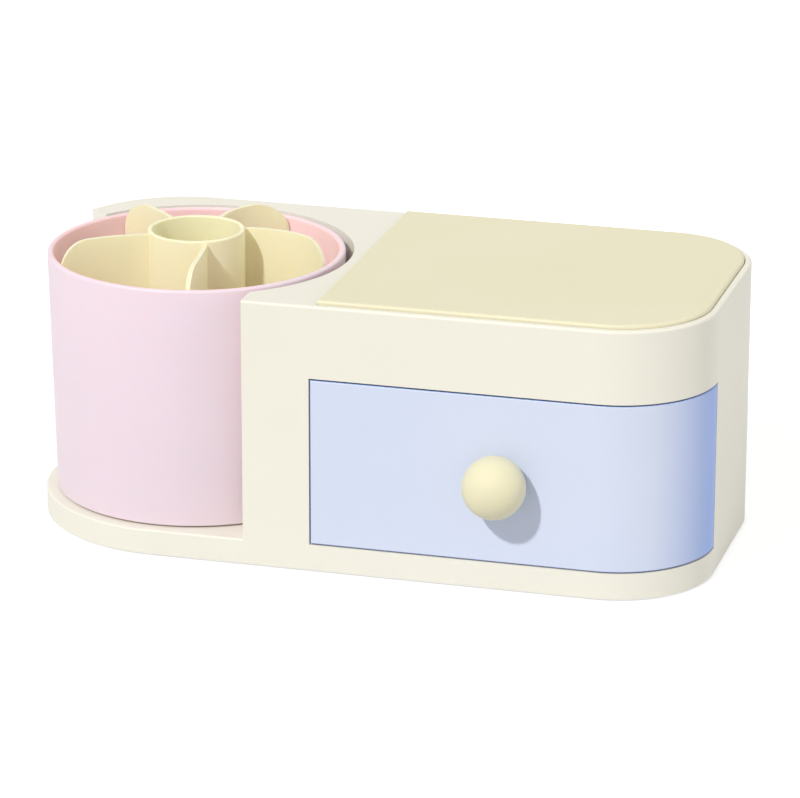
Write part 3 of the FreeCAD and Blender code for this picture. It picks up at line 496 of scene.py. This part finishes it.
def make_finishes():
    """Every finish of the holder, by the name of its slot in the record."""
    tone = colours()
    return {
        "shell_white": moulded("ivory_shell", tone.shell, 0.5, smudge=0.03, scuffed=True),
        "lid_cream": moulded("cream_lid", tone.lid, 0.52, smudge=0.03),
        # The drawer's front has painted shade, a deeper blue where it turns away from the view
        "front_blue": moulded(
            "blue_drawer_front", tone.front, 0.46, smudge=0.02, edge=tone.front_painted_shade),
        "tray_white": moulded("off_white_drawer", tone.drawer, 0.42),
        "knob_cream": moulded(
            "butter_knob", tone.knob, 0.6, smudge=0.03, soft=0.35, reach=(1.0, 0.85, 0.4)),
        # The cup has painted shade, a warmer pink on its inner wall and floor
        "cup_pink": moulded(
            "pink_cup", tone.cup, 0.46, smudge=0.03, soft=0.35, reach=(1.0, 0.4, 0.3),
            inside=tone.cup_inside_shade),
        "insert_cream": moulded(
            "yellow_divider", tone.divider, 0.48, smudge=0.03, soft=0.35, reach=(1.0, 0.85, 0.3)),
        "race_white": moulded("smooth_white_race", tone.race, 0.28),
        "cage_nylon": moulded(
            "natural_nylon", tone.nylon, 0.45, grain=0.02 * MM, fineness=1500.0, soft=0.15),
        "foot_rubber": rubber("grey_rubber", tone.rubber),
        "screw_steel": plated("zinc_steel", tone.steel),
        "ball_steel": plated("polished_steel", tone.balls, 0.12),
    }


def finish_of(slot):
    """The finish of a slot in the record."""
    return once(make_finishes)[slot]


def slot_of(name):
    """The record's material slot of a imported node."""
    for row in frame["record"]["subparts"]:
        if row["node"] == name:
            return row["material_slot"]
    raise ValueError("no slot for " + name)


def dress(*names):
    """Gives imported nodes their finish."""
    for name in names:
        NODES[name].material_slots[0].material = finish_of(slot_of(name))


# Geometry node trees for turned and repeated pieces

# Points nearer than this are one point, and edges shorter than this are none, in metres
WELD = 1e-7
SLIVER = 1e-8
# Edges sharper than these stay sharp, in degrees
TURNED_SHARP = 40.0
CUT_SHARP = 35.0


def new_tree(name, inputs):
    """Empty geometry node tree with typed inputs (name, type, default) after its geometry."""
    geometry = ("Geometry", "NodeSocketGeometry")
    return new_group(name, ((*geometry, None), *inputs), (geometry,), "GeometryNodeTree")


def set_inputs(modifier, values):
    """Sets a modifier's named inputs by the identifier of each socket."""
    for item in modifier.node_group.interface.items_tree:
        if item.item_type == "SOCKET" and item.in_out == "INPUT" and item.name in values:
            modifier[item.identifier] = values[item.name]


def finish_tree(tree, into, out, geometry):
    """Real geometry, smooth shading and the finish at a tree's end."""
    real = node(tree, "GeometryNodeRealizeInstances", {"Geometry": geometry})
    smooth = node(tree, "GeometryNodeSetShadeSmooth", {"Geometry": real.outputs["Geometry"]})
    painted = node(tree, "GeometryNodeSetMaterial", {
        "Geometry": smooth.outputs["Geometry"], "Material": into.outputs["Finish"]})
    tree.links.new(painted.outputs["Geometry"], out.inputs["Geometry"])


def turned_tree():
    """Turns an outline about the upright line through Centre. X is the radius and Z the height; the
    outline's corners are rounded by its attribute named round."""
    tree, into, out = new_tree("turned_piece", (
        ("Centre", "NodeSocketVector", None), ("Segments", "NodeSocketInt", 96),
        ("Corner Steps", "NodeSocketInt", 4), ("Finish", "NodeSocketMaterial", None)))
    curve = node(tree, "GeometryNodeMeshToCurve", {"Mesh": into.outputs["Geometry"]})
    radius = node(tree, "GeometryNodeInputNamedAttribute", {"Name": "round"}, data_type="FLOAT")
    line = node(tree, "GeometryNodeFilletCurve", {
        "Curve": curve.outputs["Curve"], "Count": into.outputs["Corner Steps"],
        "Radius": radius.outputs["Attribute"], "Limit Radius": True}, mode="POLY").outputs["Curve"]
    points = node(
        tree, "GeometryNodeCurveToPoints", {"Curve": line}, mode="EVALUATED").outputs["Points"]
    count = node(tree, "GeometryNodeAttributeDomainSize", {
        "Geometry": points}, component="POINTCLOUD").outputs["Point Count"]
    # A closed outline needs its first row of points once more
    closed = node(tree, "GeometryNodeInputSplineCyclic").outputs["Cyclic"]
    ring = node(tree, "GeometryNodeSampleIndex", {
        "Geometry": line, "Value": closed}, data_type="INT", domain="CURVE").outputs["Value"]
    columns = whole(tree, "ADD", into.outputs["Segments"], 1)
    grid = node(tree, "GeometryNodeMeshGrid", {
        "Vertices X": whole(tree, "ADD", count, ring), "Vertices Y": columns})
    # Each point of the grid takes its place from the outline and its column's angle
    index = node(tree, "GeometryNodeInputIndex").outputs["Index"]
    along = whole(tree, "MODULO", whole(tree, "DIVIDE", index, columns), count)
    about = whole(tree, "MODULO", index, columns)
    place = node(tree, "GeometryNodeInputPosition").outputs["Position"]
    sample = node(tree, "GeometryNodeSampleIndex", {
        "Geometry": points, "Value": place, "Index": along}, data_type="FLOAT_VECTOR", domain="POINT")
    split = node(tree, "ShaderNodeSeparateXYZ", {"Vector": sample.outputs["Value"]}).outputs
    part = reckon(tree, "DIVIDE", about, into.outputs["Segments"])
    angle = reckon(tree, "MULTIPLY", part, math.tau)
    join = node(tree, "ShaderNodeCombineXYZ", {
        "X": reckon(tree, "MULTIPLY", split["X"], reckon(tree, "COSINE", angle, 0.0)),
        "Y": reckon(tree, "MULTIPLY", split["X"], reckon(tree, "SINE", angle, 0.0)),
        "Z": split["Z"]})
    moved = node(tree, "ShaderNodeVectorMath", {
        0: join.outputs["Vector"], 1: into.outputs["Centre"]}, operation="ADD")
    put = node(tree, "GeometryNodeSetPosition", {
        "Geometry": grid.outputs["Mesh"], "Position": moved.outputs["Vector"]})
    weld = node(tree, "GeometryNodeMergeByDistance", {
        "Geometry": put.outputs["Geometry"], "Distance": WELD})
    finish_tree(tree, into, out, weld.outputs["Geometry"])
    return tree


def placed_tree():
    """Puts a copy of Piece at every point, pointing along the point's attribute named facing, and
    spun about that line by a seeded turn."""
    tree, into, out = new_tree("placed_pieces", (
        ("Piece", "NodeSocketObject", None), ("Spin", "NodeSocketFloat", 0.0),
        ("Seed", "NodeSocketInt", 0), ("Finish", "NodeSocketMaterial", None)))
    model = node(tree, "GeometryNodeObjectInfo", {"Object": into.outputs["Piece"]})
    facing = node(
        tree, "GeometryNodeInputNamedAttribute", {"Name": "facing"}, data_type="FLOAT_VECTOR")
    aim = node(tree, "FunctionNodeAlignRotationToVector", {
        "Vector": facing.outputs["Attribute"]}, axis="Z")
    chance = node(tree, "FunctionNodeRandomValue", {"Seed": into.outputs["Seed"]}, data_type="FLOAT")
    turn = reckon(tree, "MULTIPLY", chance.outputs[RANDOM_FLOAT], into.outputs["Spin"])
    about = node(tree, "ShaderNodeCombineXYZ", {"Z": turn})
    spin = node(tree, "FunctionNodeRotateRotation", {
        "Rotation": aim.outputs["Rotation"], "Rotate By": about.outputs["Vector"]},
        rotation_space="LOCAL")
    copies = node(tree, "GeometryNodeInstanceOnPoints", {
        "Points": into.outputs["Geometry"], "Instance": model.outputs["Geometry"],
        "Rotation": spin.outputs["Rotation"]})
    finish_tree(tree, into, out, copies.outputs["Instances"])
    return tree


def plain_object(name, data):
    """New object in the scene, at the origin."""
    made = bpy.data.objects.new(name, data)
    bpy.context.scene.collection.objects.link(made)
    return made


def grown(name, mesh, tree, values):
    """Runs a mesh through a tree and returns the result as a plain mesh."""
    holder = plain_object(name + "_source", mesh)
    modifier = holder.modifiers.new("grow", "NODES")
    modifier.node_group = tree
    set_inputs(modifier, values)
    bpy.context.view_layer.update()
    depsgraph = bpy.context.evaluated_depsgraph_get()
    result = bpy.data.meshes.new_from_object(
        holder.evaluated_get(depsgraph), preserve_all_data_layers=True, depsgraph=depsgraph)
    holder.modifiers.remove(modifier)
    bpy.data.objects.remove(holder)
    result.name = name
    return result


def outward(mesh):
    """Merges doubles and turns every face outwards."""
    work = bmesh.new()
    work.from_mesh(mesh)
    bmesh.ops.remove_doubles(work, verts=work.verts, dist=WELD)
    bmesh.ops.dissolve_degenerate(work, edges=work.edges, dist=SLIVER)
    bmesh.ops.recalc_face_normals(work, faces=work.faces)
    work.to_mesh(mesh)
    work.free()
    return mesh


def outline_mesh(name, corners, closed):
    """A line of (radius, height, rounding) corners in metres as a mesh for the turned tree."""
    mesh = bpy.data.meshes.new(name)
    edges = [(index, index + 1) for index in range(len(corners) - 1)]
    if closed:
        edges.append((len(corners) - 1, 0))
    mesh.from_pydata([(radius, 0.0, height) for radius, height, _ in corners], edges, [])
    rounding = mesh.attributes.new("round", "FLOAT", "POINT")
    rounding.data.foreach_set("value", [corner[2] for corner in corners])
    return mesh


def turned(name, corners, finish, centre=(0.0, 0.0, 0.0), closed=True, steps=4, segments=None):
    """A line of corners turned about the upright line through centre."""
    values = {"Centre": centre, "Segments": segments or sizes().turn_segments,
              "Corner Steps": steps, "Finish": finish}
    line = outline_mesh(name + "_line", corners, closed)
    mesh = outward(grown(name, line, once(turned_tree), values))
    smooth_by_angle(mesh, TURNED_SHARP)
    return mesh


def smooth_by_angle(mesh, degrees):
    """Smooth shading with a sharp line wherever faces meet at more than an angle."""
    mesh.shade_smooth()
    mesh.set_sharp_from_angle(angle=math.radians(degrees))


def islands(name):
    """(centre, lowest corner, highest corner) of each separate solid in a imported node."""
    work = bmesh.new()
    work.from_mesh(NODES[name].data)
    bmesh.ops.remove_doubles(work, verts=work.verts, dist=WELD)
    left = set(work.verts)
    boxes = []
    while left:
        waiting = [left.pop()]
        found = list(waiting)
        while waiting:
            here = waiting.pop()
            for edge in here.link_edges:
                other = edge.other_vert(here)
                if other in left:
                    left.remove(other)
                    found.append(other)
                    waiting.append(other)
        low = Vector([min(vert.co[axis] for vert in found) for axis in range(3)])
        high = Vector([max(vert.co[axis] for vert in found) for axis in range(3)])
        boxes.append(((low + high) / 2.0, low, high))
    work.free()
    return sorted(boxes, key=lambda box: tuple(round(value, 6) for value in box[0]))


def point_mesh(name, places):
    """A mesh of loose points, each with the way it faces."""
    mesh = bpy.data.meshes.new(name)
    mesh.from_pydata([tuple(place) for place, _ in places], [], [])
    facing = mesh.attributes.new("facing", "FLOAT_VECTOR", "POINT")
    facing.data.foreach_set("vector", [value for _, way in places for value in way])
    return mesh


def repeated(name, template, places, finish, spin=0.0):
    """Copies of a template mesh at every place, as one plain mesh."""
    model = plain_object(name + "_model", template)
    values = {"Piece": model, "Spin": spin, "Seed": sizes().seed, "Finish": finish}
    points = point_mesh(name + "_places", places)
    mesh = grown(name, points, once(placed_tree), values)
    bpy.data.objects.remove(model)
    return mesh


def joined(name, meshes, finish):
    """Several plain meshes of one finish as one."""
    work = bmesh.new()
    for mesh in meshes:
        work.from_mesh(mesh)
    result = bpy.data.meshes.new(name)
    work.to_mesh(result)
    work.free()
    result.materials.append(finish)
    return result


def piece(name, mesh, body, slot, *stands_for):
    """A finished piece on its body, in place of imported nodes."""
    made = plain_object(name, mesh)
    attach(made, body)
    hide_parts(*stands_for)


def body_of_node(name):
    """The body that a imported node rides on."""
    for body, members in frame["record"]["behaviour"]["bodies"].items():
        if name in members:
            return body
    raise ValueError("no body for " + name)


def cut_from(mesh, cutter):
    """The mesh less the cutter, smooth again up to its sharp edges."""
    uncut = plain_object("uncut", mesh)
    tool = plain_object("cutter", cutter)
    cut = uncut.modifiers.new("cut", "BOOLEAN")
    cut.operation = "DIFFERENCE"
    cut.solver = "EXACT"
    cut.use_self = True
    cut.object = tool
    bpy.context.view_layer.update()
    depsgraph = bpy.context.evaluated_depsgraph_get()
    result = bpy.data.meshes.new_from_object(uncut.evaluated_get(depsgraph), depsgraph=depsgraph)
    bpy.data.objects.remove(uncut)
    bpy.data.objects.remove(tool)
    smooth_by_angle(result, CUT_SHARP)
    return result


# Pieces

class HOLDER_OT_stage(bpy.types.Operator):
    """Camera, floor, two lamps and a soft surround"""
    bl_idname = "holder.stage"
    bl_label = "Stage"

    def execute(self, context):
        make_stage()
        return {"FINISHED"}


class HOLDER_OT_shell(bpy.types.Operator):
    """Body, base cover and top tray"""
    bl_idname = "holder.shell"
    bl_label = "Shell"

    def execute(self, context):
        dress("housing", "base_cover", "top_tray")
        return {"FINISHED"}


class HOLDER_OT_lid(bpy.types.Operator):
    """Lift-off lid"""
    bl_idname = "holder.lid"
    bl_label = "Lid"

    def execute(self, context):
        dress("top_lid")
        return {"FINISHED"}


class HOLDER_OT_drawer(bpy.types.Operator):
    """Drawer tray and wrapped front"""
    bl_idname = "holder.drawer"
    bl_label = "Drawer"

    def execute(self, context):
        dress("drawer_tray", "drawer_front", "drawer_stop")
        return {"FINISHED"}


class HOLDER_OT_knob(bpy.types.Operator):
    """Turned ball knob"""
    bl_idname = "holder.knob"
    bl_label = "Knob"

    def execute(self, context):
        make_knob()
        return {"FINISHED"}


class HOLDER_OT_cup(bpy.types.Operator):
    """Turning cup"""
    bl_idname = "holder.cup"
    bl_label = "Cup"

    def execute(self, context):
        make_cup()
        return {"FINISHED"}


class HOLDER_OT_divider(bpy.types.Operator):
    """Lift-out divider"""
    bl_idname = "holder.divider"
    bl_label = "Divider"

    def execute(self, context):
        dress("divider_insert")
        return {"FINISHED"}


class HOLDER_OT_bearing(bpy.types.Operator):
    """Races, ball cage, balls and pivot"""
    bl_idname = "holder.bearing"
    bl_label = "Bearing"

    def execute(self, context):
        make_bearing()
        return {"FINISHED"}


class HOLDER_OT_feet(bpy.types.Operator):
    """Four grooved rubber feet"""
    bl_idname = "holder.feet"
    bl_label = "Feet"

    def execute(self, context):
        make_feet()
        return {"FINISHED"}


class HOLDER_OT_screws(bpy.types.Operator):
    """All the small screws, with a cross in each head"""
    bl_idname = "holder.screws"
    bl_label = "Screws"

    def execute(self, context):
        make_screws()
        return {"FINISHED"}


def make_cup():
    """Tapered cup turned from its outline, with a rounded rim and countersunk holes in its floor."""
    low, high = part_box("brush_cup")
    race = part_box("upper_race")[1]
    bush_low, bush_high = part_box("pivot_bush")
    centre = (low + high) / 2.0
    top = (high.x - low.x) / 2.0
    under = race.z
    floor = under + CUP_FLOOR
    bore = (bush_high.x - bush_low.x) / 2.0 + HUB_GAP

    def outer(level):
        return top - CUP_TAPER * (high.z - level) / (high.z - low.z)
    foot = outer(low.z)
    line = [
        (bore, under, 0.0), (foot - CUP_WALL, under, 0.0), (foot - CUP_WALL, low.z, CUP_SKIRT_ROUND),
        (foot, low.z, CUP_FOOT_ROUND), (top, high.z, CUP_RIM_ROUND),
        (top - CUP_WALL, high.z, CUP_RIM_ROUND), (outer(floor) - CUP_WALL, floor, CUP_FLOOR_ROUND),
        (bore, floor, 0.0),
    ]
    finish = finish_of("cup_pink")
    mesh = turned("turned_cup", line, finish, (centre.x, centre.y, 0.0), segments=CUP_SEGMENTS)
    cutters = []
    for number, (middle, screw_low, screw_high) in enumerate(islands("upper_race_screws")):
        head = (screw_high.x - screw_low.x) / 2.0
        cone = [
            (0.0, floor + SINK_PAST, 0.0), (head + SINK_MOUTH, floor + SINK_PAST, 0.0),
            (head + SINK_ROOM, floor, 0.0), (SINK_HOLE, floor - SUNK_HEAD_THICK, 0.0),
            (SINK_HOLE, under - SINK_PAST, 0.0), (0.0, under - SINK_PAST, 0.0),
        ]
        cutters.append(turned(
            "sink_%d" % number, cone, None, (middle.x, middle.y, 0.0), False, segments=SINK_SEGMENTS))
    mesh = cut_from(mesh, joined("sinks", cutters, finish))
    piece("turned_cup", mesh, "cup", "cup_pink", "brush_cup")


def make_knob():
    """Ball with a flat back and a fine seam round it, turned about the line it is pulled along."""
    low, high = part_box("knob")
    centre = (low + high) / 2.0
    radius = (high.x - low.x) / 2.0
    middle = low.y + radius
    flat = high.y - middle
    rim = math.asin(flat / radius)
    line = [(0.0, -flat, 0.0)]
    for step in range(KNOB_STEPS + 1):
        angle = rim - (math.pi / 2.0 + rim) * step / KNOB_STEPS
        dent = sizes().seam_depth * math.exp(-((math.degrees(angle) / KNOB_SEAM_WIDTH) ** 2.0))
        around = radius - dent
        across = abs(around * math.cos(angle)) if step < KNOB_STEPS else 0.0
        line.append((across, -around * math.sin(angle), 0.0))
    mesh = turned("knob_ball", line, finish_of("knob_cream"), closed=False)
    for vert in mesh.vertices:
        x, y, z = vert.co
        vert.co = (centre.x + x, middle - z, centre.z + y)
    piece("knob_ball", outward(mesh), "drawer", "knob_cream", "knob")


def make_bearing():
    """Finishes of the races, cage and pivot, and the turned steel balls."""
    dress("lower_race", "upper_race", "ball_cage", "pivot_bush", "pivot_washer", "pivot_screw")
    balls = islands("bearing_balls")
    radius = (balls[0][2].z - balls[0][1].z) / 2.0
    line = []
    for step in range(BALL_STEPS + 1):
        angle = math.pi * (step / BALL_STEPS - 0.5)
        across = 0.0 if step in (0, BALL_STEPS) else radius * math.cos(angle)
        line.append((across, radius * math.sin(angle), 0.0))
    ball = turned("ball_model", line, None, closed=False, segments=BALL_SEGMENTS)
    places = [(centre, UP) for centre, _, _ in balls]
    mesh = repeated("steel_balls", ball, places, finish_of("ball_steel"))
    piece("steel_balls", mesh, "bearing", "ball_steel", "bearing_balls")


def make_feet():
    """Feet with two ring grooves underneath."""
    feet = islands("rubber_feet")
    _, low, high = feet[0]
    radius = (high.x - low.x) / 2.0
    thick = high.z - low.z
    groove = sizes().foot_groove
    line = [(0.0, 0.0, 0.0)]
    for start in RING_STARTS:
        inner, outer = radius * start, radius * (start + RING_WIDTH)
        line += [(inner, 0.0, RING_ROUND), (inner + groove, groove, RING_ROUND),
                 (outer - groove, groove, RING_ROUND), (outer, 0.0, RING_ROUND)]
    line += [(radius, 0.0, FOOT_ROUND), (radius, thick, 0.0), (0.0, thick, 0.0)]
    foot = turned("foot_model", line, None, closed=False, segments=FOOT_SEGMENTS)
    places = [((centre.x, centre.y, under.z), UP) for centre, under, _ in feet]
    mesh = repeated("grooved_feet", foot, places, finish_of("foot_rubber"))
    piece("grooved_feet", mesh, "base", "foot_rubber", "rubber_feet")


def screw_way(name, low, high):
    """The way a screw's head faces, the middle of its head's top, and the screw's length."""
    centre = (low + high) / 2.0
    if name == "base_cover_screws":
        return DOWN, (centre.x, centre.y, low.z), high.z - low.z
    if body_of_node(name) == "drawer":
        return BACK, (centre.x, high.y, centre.z), high.y - low.y
    return UP, (centre.x, centre.y, high.z), high.z - low.z


def screw_blank(name, total, head, sunk):
    """A screw without its cross: its head's top is at height 0 and its tip at minus its length."""
    head_thick = SUNK_HEAD_THICK if sunk else PAN_HEAD_THICK
    core = THREAD_RADIUS * THREAD_CORE
    thread = []
    level = -head_thick - THREAD_PITCH
    while level - THREAD_PITCH > -total + THREAD_END:
        thread.append((THREAD_RADIUS, level, 0.0))
        thread.append((core, level - THREAD_PITCH / 2.0, 0.0))
        level -= THREAD_PITCH
    # A sunk head has a short rim over its cone, and a pan head is domed
    if sunk:
        top = [(0.0, 0.0, 0.0), (head, 0.0, 0.1 * MM), (head - 0.12 * MM, -0.2 * MM, 0.0),
               (THREAD_RADIUS, -head_thick, 0.0)]
    else:
        top = [(0.0, 0.0, 0.0), (head * 0.7, -0.06 * MM, 0.4 * MM),
               (head, -head_thick * 0.55, 0.3 * MM), (head, -head_thick, 0.0),
               (THREAD_RADIUS, -head_thick, 0.0)]
    tip = [(core, -total + TIP_LENGTH, 0.0), (0.0, -total, 0.0)]
    return turned(name, top + thread + tip, None, closed=False, steps=3, segments=SCREW_SEGMENTS)


def recess_cutter(reach):
    """Cutter for the cross in a screw's head, whose top is at height 0. It narrows downwards."""
    width, depth = sizes().recess_width, sizes().recess_depth
    cutter = bmesh.new()
    for turn in (0.0, 90.0):
        arm = bmesh.ops.create_cube(cutter, size=1.0)["verts"]
        for vert in arm:
            low = vert.co.z < 0.0
            vert.co.x *= 2.0 * reach * (RECESS_FOOT_REACH if low else 1.0)
            vert.co.y *= width * (RECESS_FOOT_WIDTH if low else 1.0)
            vert.co.z = -depth if low else depth * RECESS_ABOVE
        bmesh.ops.rotate(cutter, verts=arm, matrix=Matrix.Rotation(math.radians(turn), 3, "Z"))
    mesh = bpy.data.meshes.new("recess_cutter")
    bmesh.ops.recalc_face_normals(cutter, faces=cutter.faces)
    cutter.to_mesh(mesh)
    cutter.free()
    return mesh


def make_screws():
    """Screws of every length and head, joined by the body that they ride on."""
    finish = finish_of("screw_steel")
    templates = {}
    for name, sources in SCREW_NODES.items():
        rows = []
        for source in sources:
            sunk = body_of_node(source) != "drawer"
            for _, low, high in islands(source):
                way, place, total = screw_way(source, low, high)
                kind = (round(total, 5), sunk)
                if kind not in templates:
                    head = (high.x - low.x) / 2.0
                    blank = screw_blank("screw_%d" % len(templates), total, head, sunk)
                    templates[kind] = cut_from(blank, recess_cutter(head * RECESS_SPAN))
                rows.append((kind, place, way))
        parts = []
        for kind in sorted(set(row[0] for row in rows)):
            places = [(place, way) for found, place, way in rows if found == kind]
            parts.append(repeated(name + "_part", templates[kind].copy(), places, finish, math.tau))
        mesh = joined(name, parts, finish)
        smooth_by_angle(mesh, CUT_SHARP)
        piece(name, mesh, body_of_node(sources[0]), "screw_steel", *sources)


# Stage

# Camera: its place, its turn to the left, dip and roll in radians, its lens and sensor in mm, and how
# far it sees
CAMERA_PLACE = (0.41847, -1.48135, 0.56570)
CAMERA_TURN = 0.2707019
CAMERA_DIP = 0.323423
CAMERA_ROLL = 0.002
CAMERA_LENS = 199.71
CAMERA_SENSOR = 36.0
CAMERA_CLIP = 50.0
# Lamps: the way to each from the holder, its strength, its width in degrees and its colour
KEY_LAMP = ((-0.2575, -0.7070, 0.6587), 2.06, 3.0, (1.0, 0.99, 0.97))
FILL_LAMP = ((0.94, 0.05, 0.34), 0.5, 35.0, (1.0, 0.99, 0.96))
# Strength of the white surround as light on the holder; where it is seen, it is 1
SURROUND_LEVEL = 0.55
# Floor: its grey under the lamps, the glow that makes it white where it is seen, its radius, and
# how far it lies below the feet
FLOOR_GREY = 0.62
FLOOR_GLOW = 0.63
FLOOR_RADIUS = 6.0
FLOOR_SIDES = 96
FLOOR_DROP = 0.05 * MM


def make_stage():
    """Camera, lamps, surround and floor, with the plain view transform."""
    make_camera()
    make_light()
    make_floor()
    bpy.context.scene.view_settings.view_transform = "Standard"


def make_camera():
    """Camera at the photograph's viewing angle."""
    data = bpy.data.cameras.new("camera")
    data.lens = CAMERA_LENS
    data.sensor_width = CAMERA_SENSOR
    data.clip_end = CAMERA_CLIP
    made = plain_object("camera", data)
    made.location = CAMERA_PLACE
    level = math.cos(CAMERA_DIP)
    ahead = Vector((
        -math.sin(CAMERA_TURN) * level, math.cos(CAMERA_TURN) * level, -math.sin(CAMERA_DIP)))
    roll = Quaternion((0.0, 0.0, 1.0), CAMERA_ROLL)
    made.rotation_mode = "QUATERNION"
    made.rotation_quaternion = ahead.to_track_quat("-Z", "Y") @ roll
    bpy.context.scene.camera = made


def hung_lamp(name, toward, energy, width, colour):
    """A far lamp, which lights everything from one way."""
    data = bpy.data.lights.new(name, "SUN")
    data.energy = energy
    data.angle = math.radians(width)
    data.color = colour
    made = plain_object(name, data)
    made.rotation_mode = "QUATERNION"
    made.rotation_quaternion = Vector(toward).to_track_quat("Z", "Y")


def seen_ray(tree):
    """1 for a ray that is seen, also in gloss or through glass, and 0 for light on the holder."""
    path = node(tree, "ShaderNodeLightPath")
    seen = reckon(tree, "MAXIMUM", path.outputs["Is Camera Ray"], path.outputs["Is Glossy Ray"])
    return reckon(tree, "MAXIMUM", seen, path.outputs["Is Transmission Ray"])


def make_light():
    """One sun-like key lamp, a wide weak fill from the right, and an even white surround."""
    hung_lamp("key", *KEY_LAMP)
    hung_lamp("fill", *FILL_LAMP)
    world = bpy.data.worlds.new("surround")
    bpy.context.scene.world = world
    world.use_nodes = True
    tree = world.node_tree
    back = tree.nodes["Background"]
    strength = spread(tree, seen_ray(tree), 0.0, 1.0, SURROUND_LEVEL, 1.0)
    tree.links.new(strength, back.inputs["Strength"])
    back.inputs["Color"].default_value = (1.0, 1.0, 1.0, 1.0)


def make_floor():
    """Pale floor, white where it is seen, that keeps the holder's shadow."""
    work = bmesh.new()
    bmesh.ops.create_circle(work, cap_ends=True, segments=FLOOR_SIDES, radius=FLOOR_RADIUS)
    mesh = bpy.data.meshes.new("floor")
    work.to_mesh(mesh)
    work.free()
    made = plain_object("floor", mesh)
    made.location.z = -FLOOR_DROP
    paint = bpy.data.materials.new("pale_floor")
    paint.use_nodes = True
    tree = paint.node_tree
    surface = tree.nodes["Principled BSDF"]
    surface.inputs["Base Color"].default_value = (FLOOR_GREY, FLOOR_GREY, FLOOR_GREY, 1.0)
    surface.inputs["Roughness"].default_value = 0.9
    surface.inputs["Specular IOR Level"].default_value = 0.0
    glow = node(tree, "ShaderNodeEmission")
    tree.links.new(reckon(tree, "MULTIPLY", seen_ray(tree), FLOOR_GLOW), glow.inputs["Strength"])
    both = node(tree, "ShaderNodeAddShader")
    tree.links.new(surface.outputs["BSDF"], both.inputs[0])
    tree.links.new(glow.outputs["Emission"], both.inputs[1])
    tree.links.new(both.outputs["Shader"], tree.nodes["Material Output"].inputs["Surface"])
    mesh.materials.append(paint)


class HOLDER_PT_panel(bpy.types.Panel):
    """Lists the pieces and the sizes and colours behind them"""
    bl_idname = "HOLDER_PT_panel"
    bl_label = "Turning Brush Holder"
    bl_space_type = "VIEW_3D"
    bl_region_type = "UI"
    bl_category = "Brush Holder"

    def draw(self, context):
        layout = self.layout
        for operator in OPERATORS:
            layout.operator(operator.bl_idname)
        for group in (context.scene.holder_colours, context.scene.holder_sizes):
            box = layout.box()
            for name in group.__annotations__:
                box.prop(group, name)


OPERATORS = (
    HOLDER_OT_stage, HOLDER_OT_shell, HOLDER_OT_lid, HOLDER_OT_drawer, HOLDER_OT_knob,
    HOLDER_OT_cup, HOLDER_OT_divider, HOLDER_OT_bearing, HOLDER_OT_feet, HOLDER_OT_screws,
)
CLASSES = (HolderColours, HolderSizes) + OPERATORS + (HOLDER_PT_panel,)


def register():
    """Makes the classes and the scene's settings known."""
    for kind in CLASSES:
        bpy.utils.register_class(kind)
    bpy.types.Scene.holder_colours = bpy.props.PointerProperty(type=HolderColours)
    bpy.types.Scene.holder_sizes = bpy.props.PointerProperty(type=HolderSizes)


def unregister():
    """Takes the classes and the scene's settings away again."""
    del bpy.types.Scene.holder_sizes
    del bpy.types.Scene.holder_colours
    for kind in reversed(CLASSES):
        bpy.utils.unregister_class(kind)


def main():
    register()
    bpy.ops.holder.stage()
    bpy.ops.holder.shell()
    bpy.ops.holder.lid()
    bpy.ops.holder.drawer()
    bpy.ops.holder.knob()
    bpy.ops.holder.cup()
    bpy.ops.holder.divider()
    bpy.ops.holder.bearing()
    bpy.ops.holder.feet()
    bpy.ops.holder.screws()


if __name__ == "__main__":
    main()
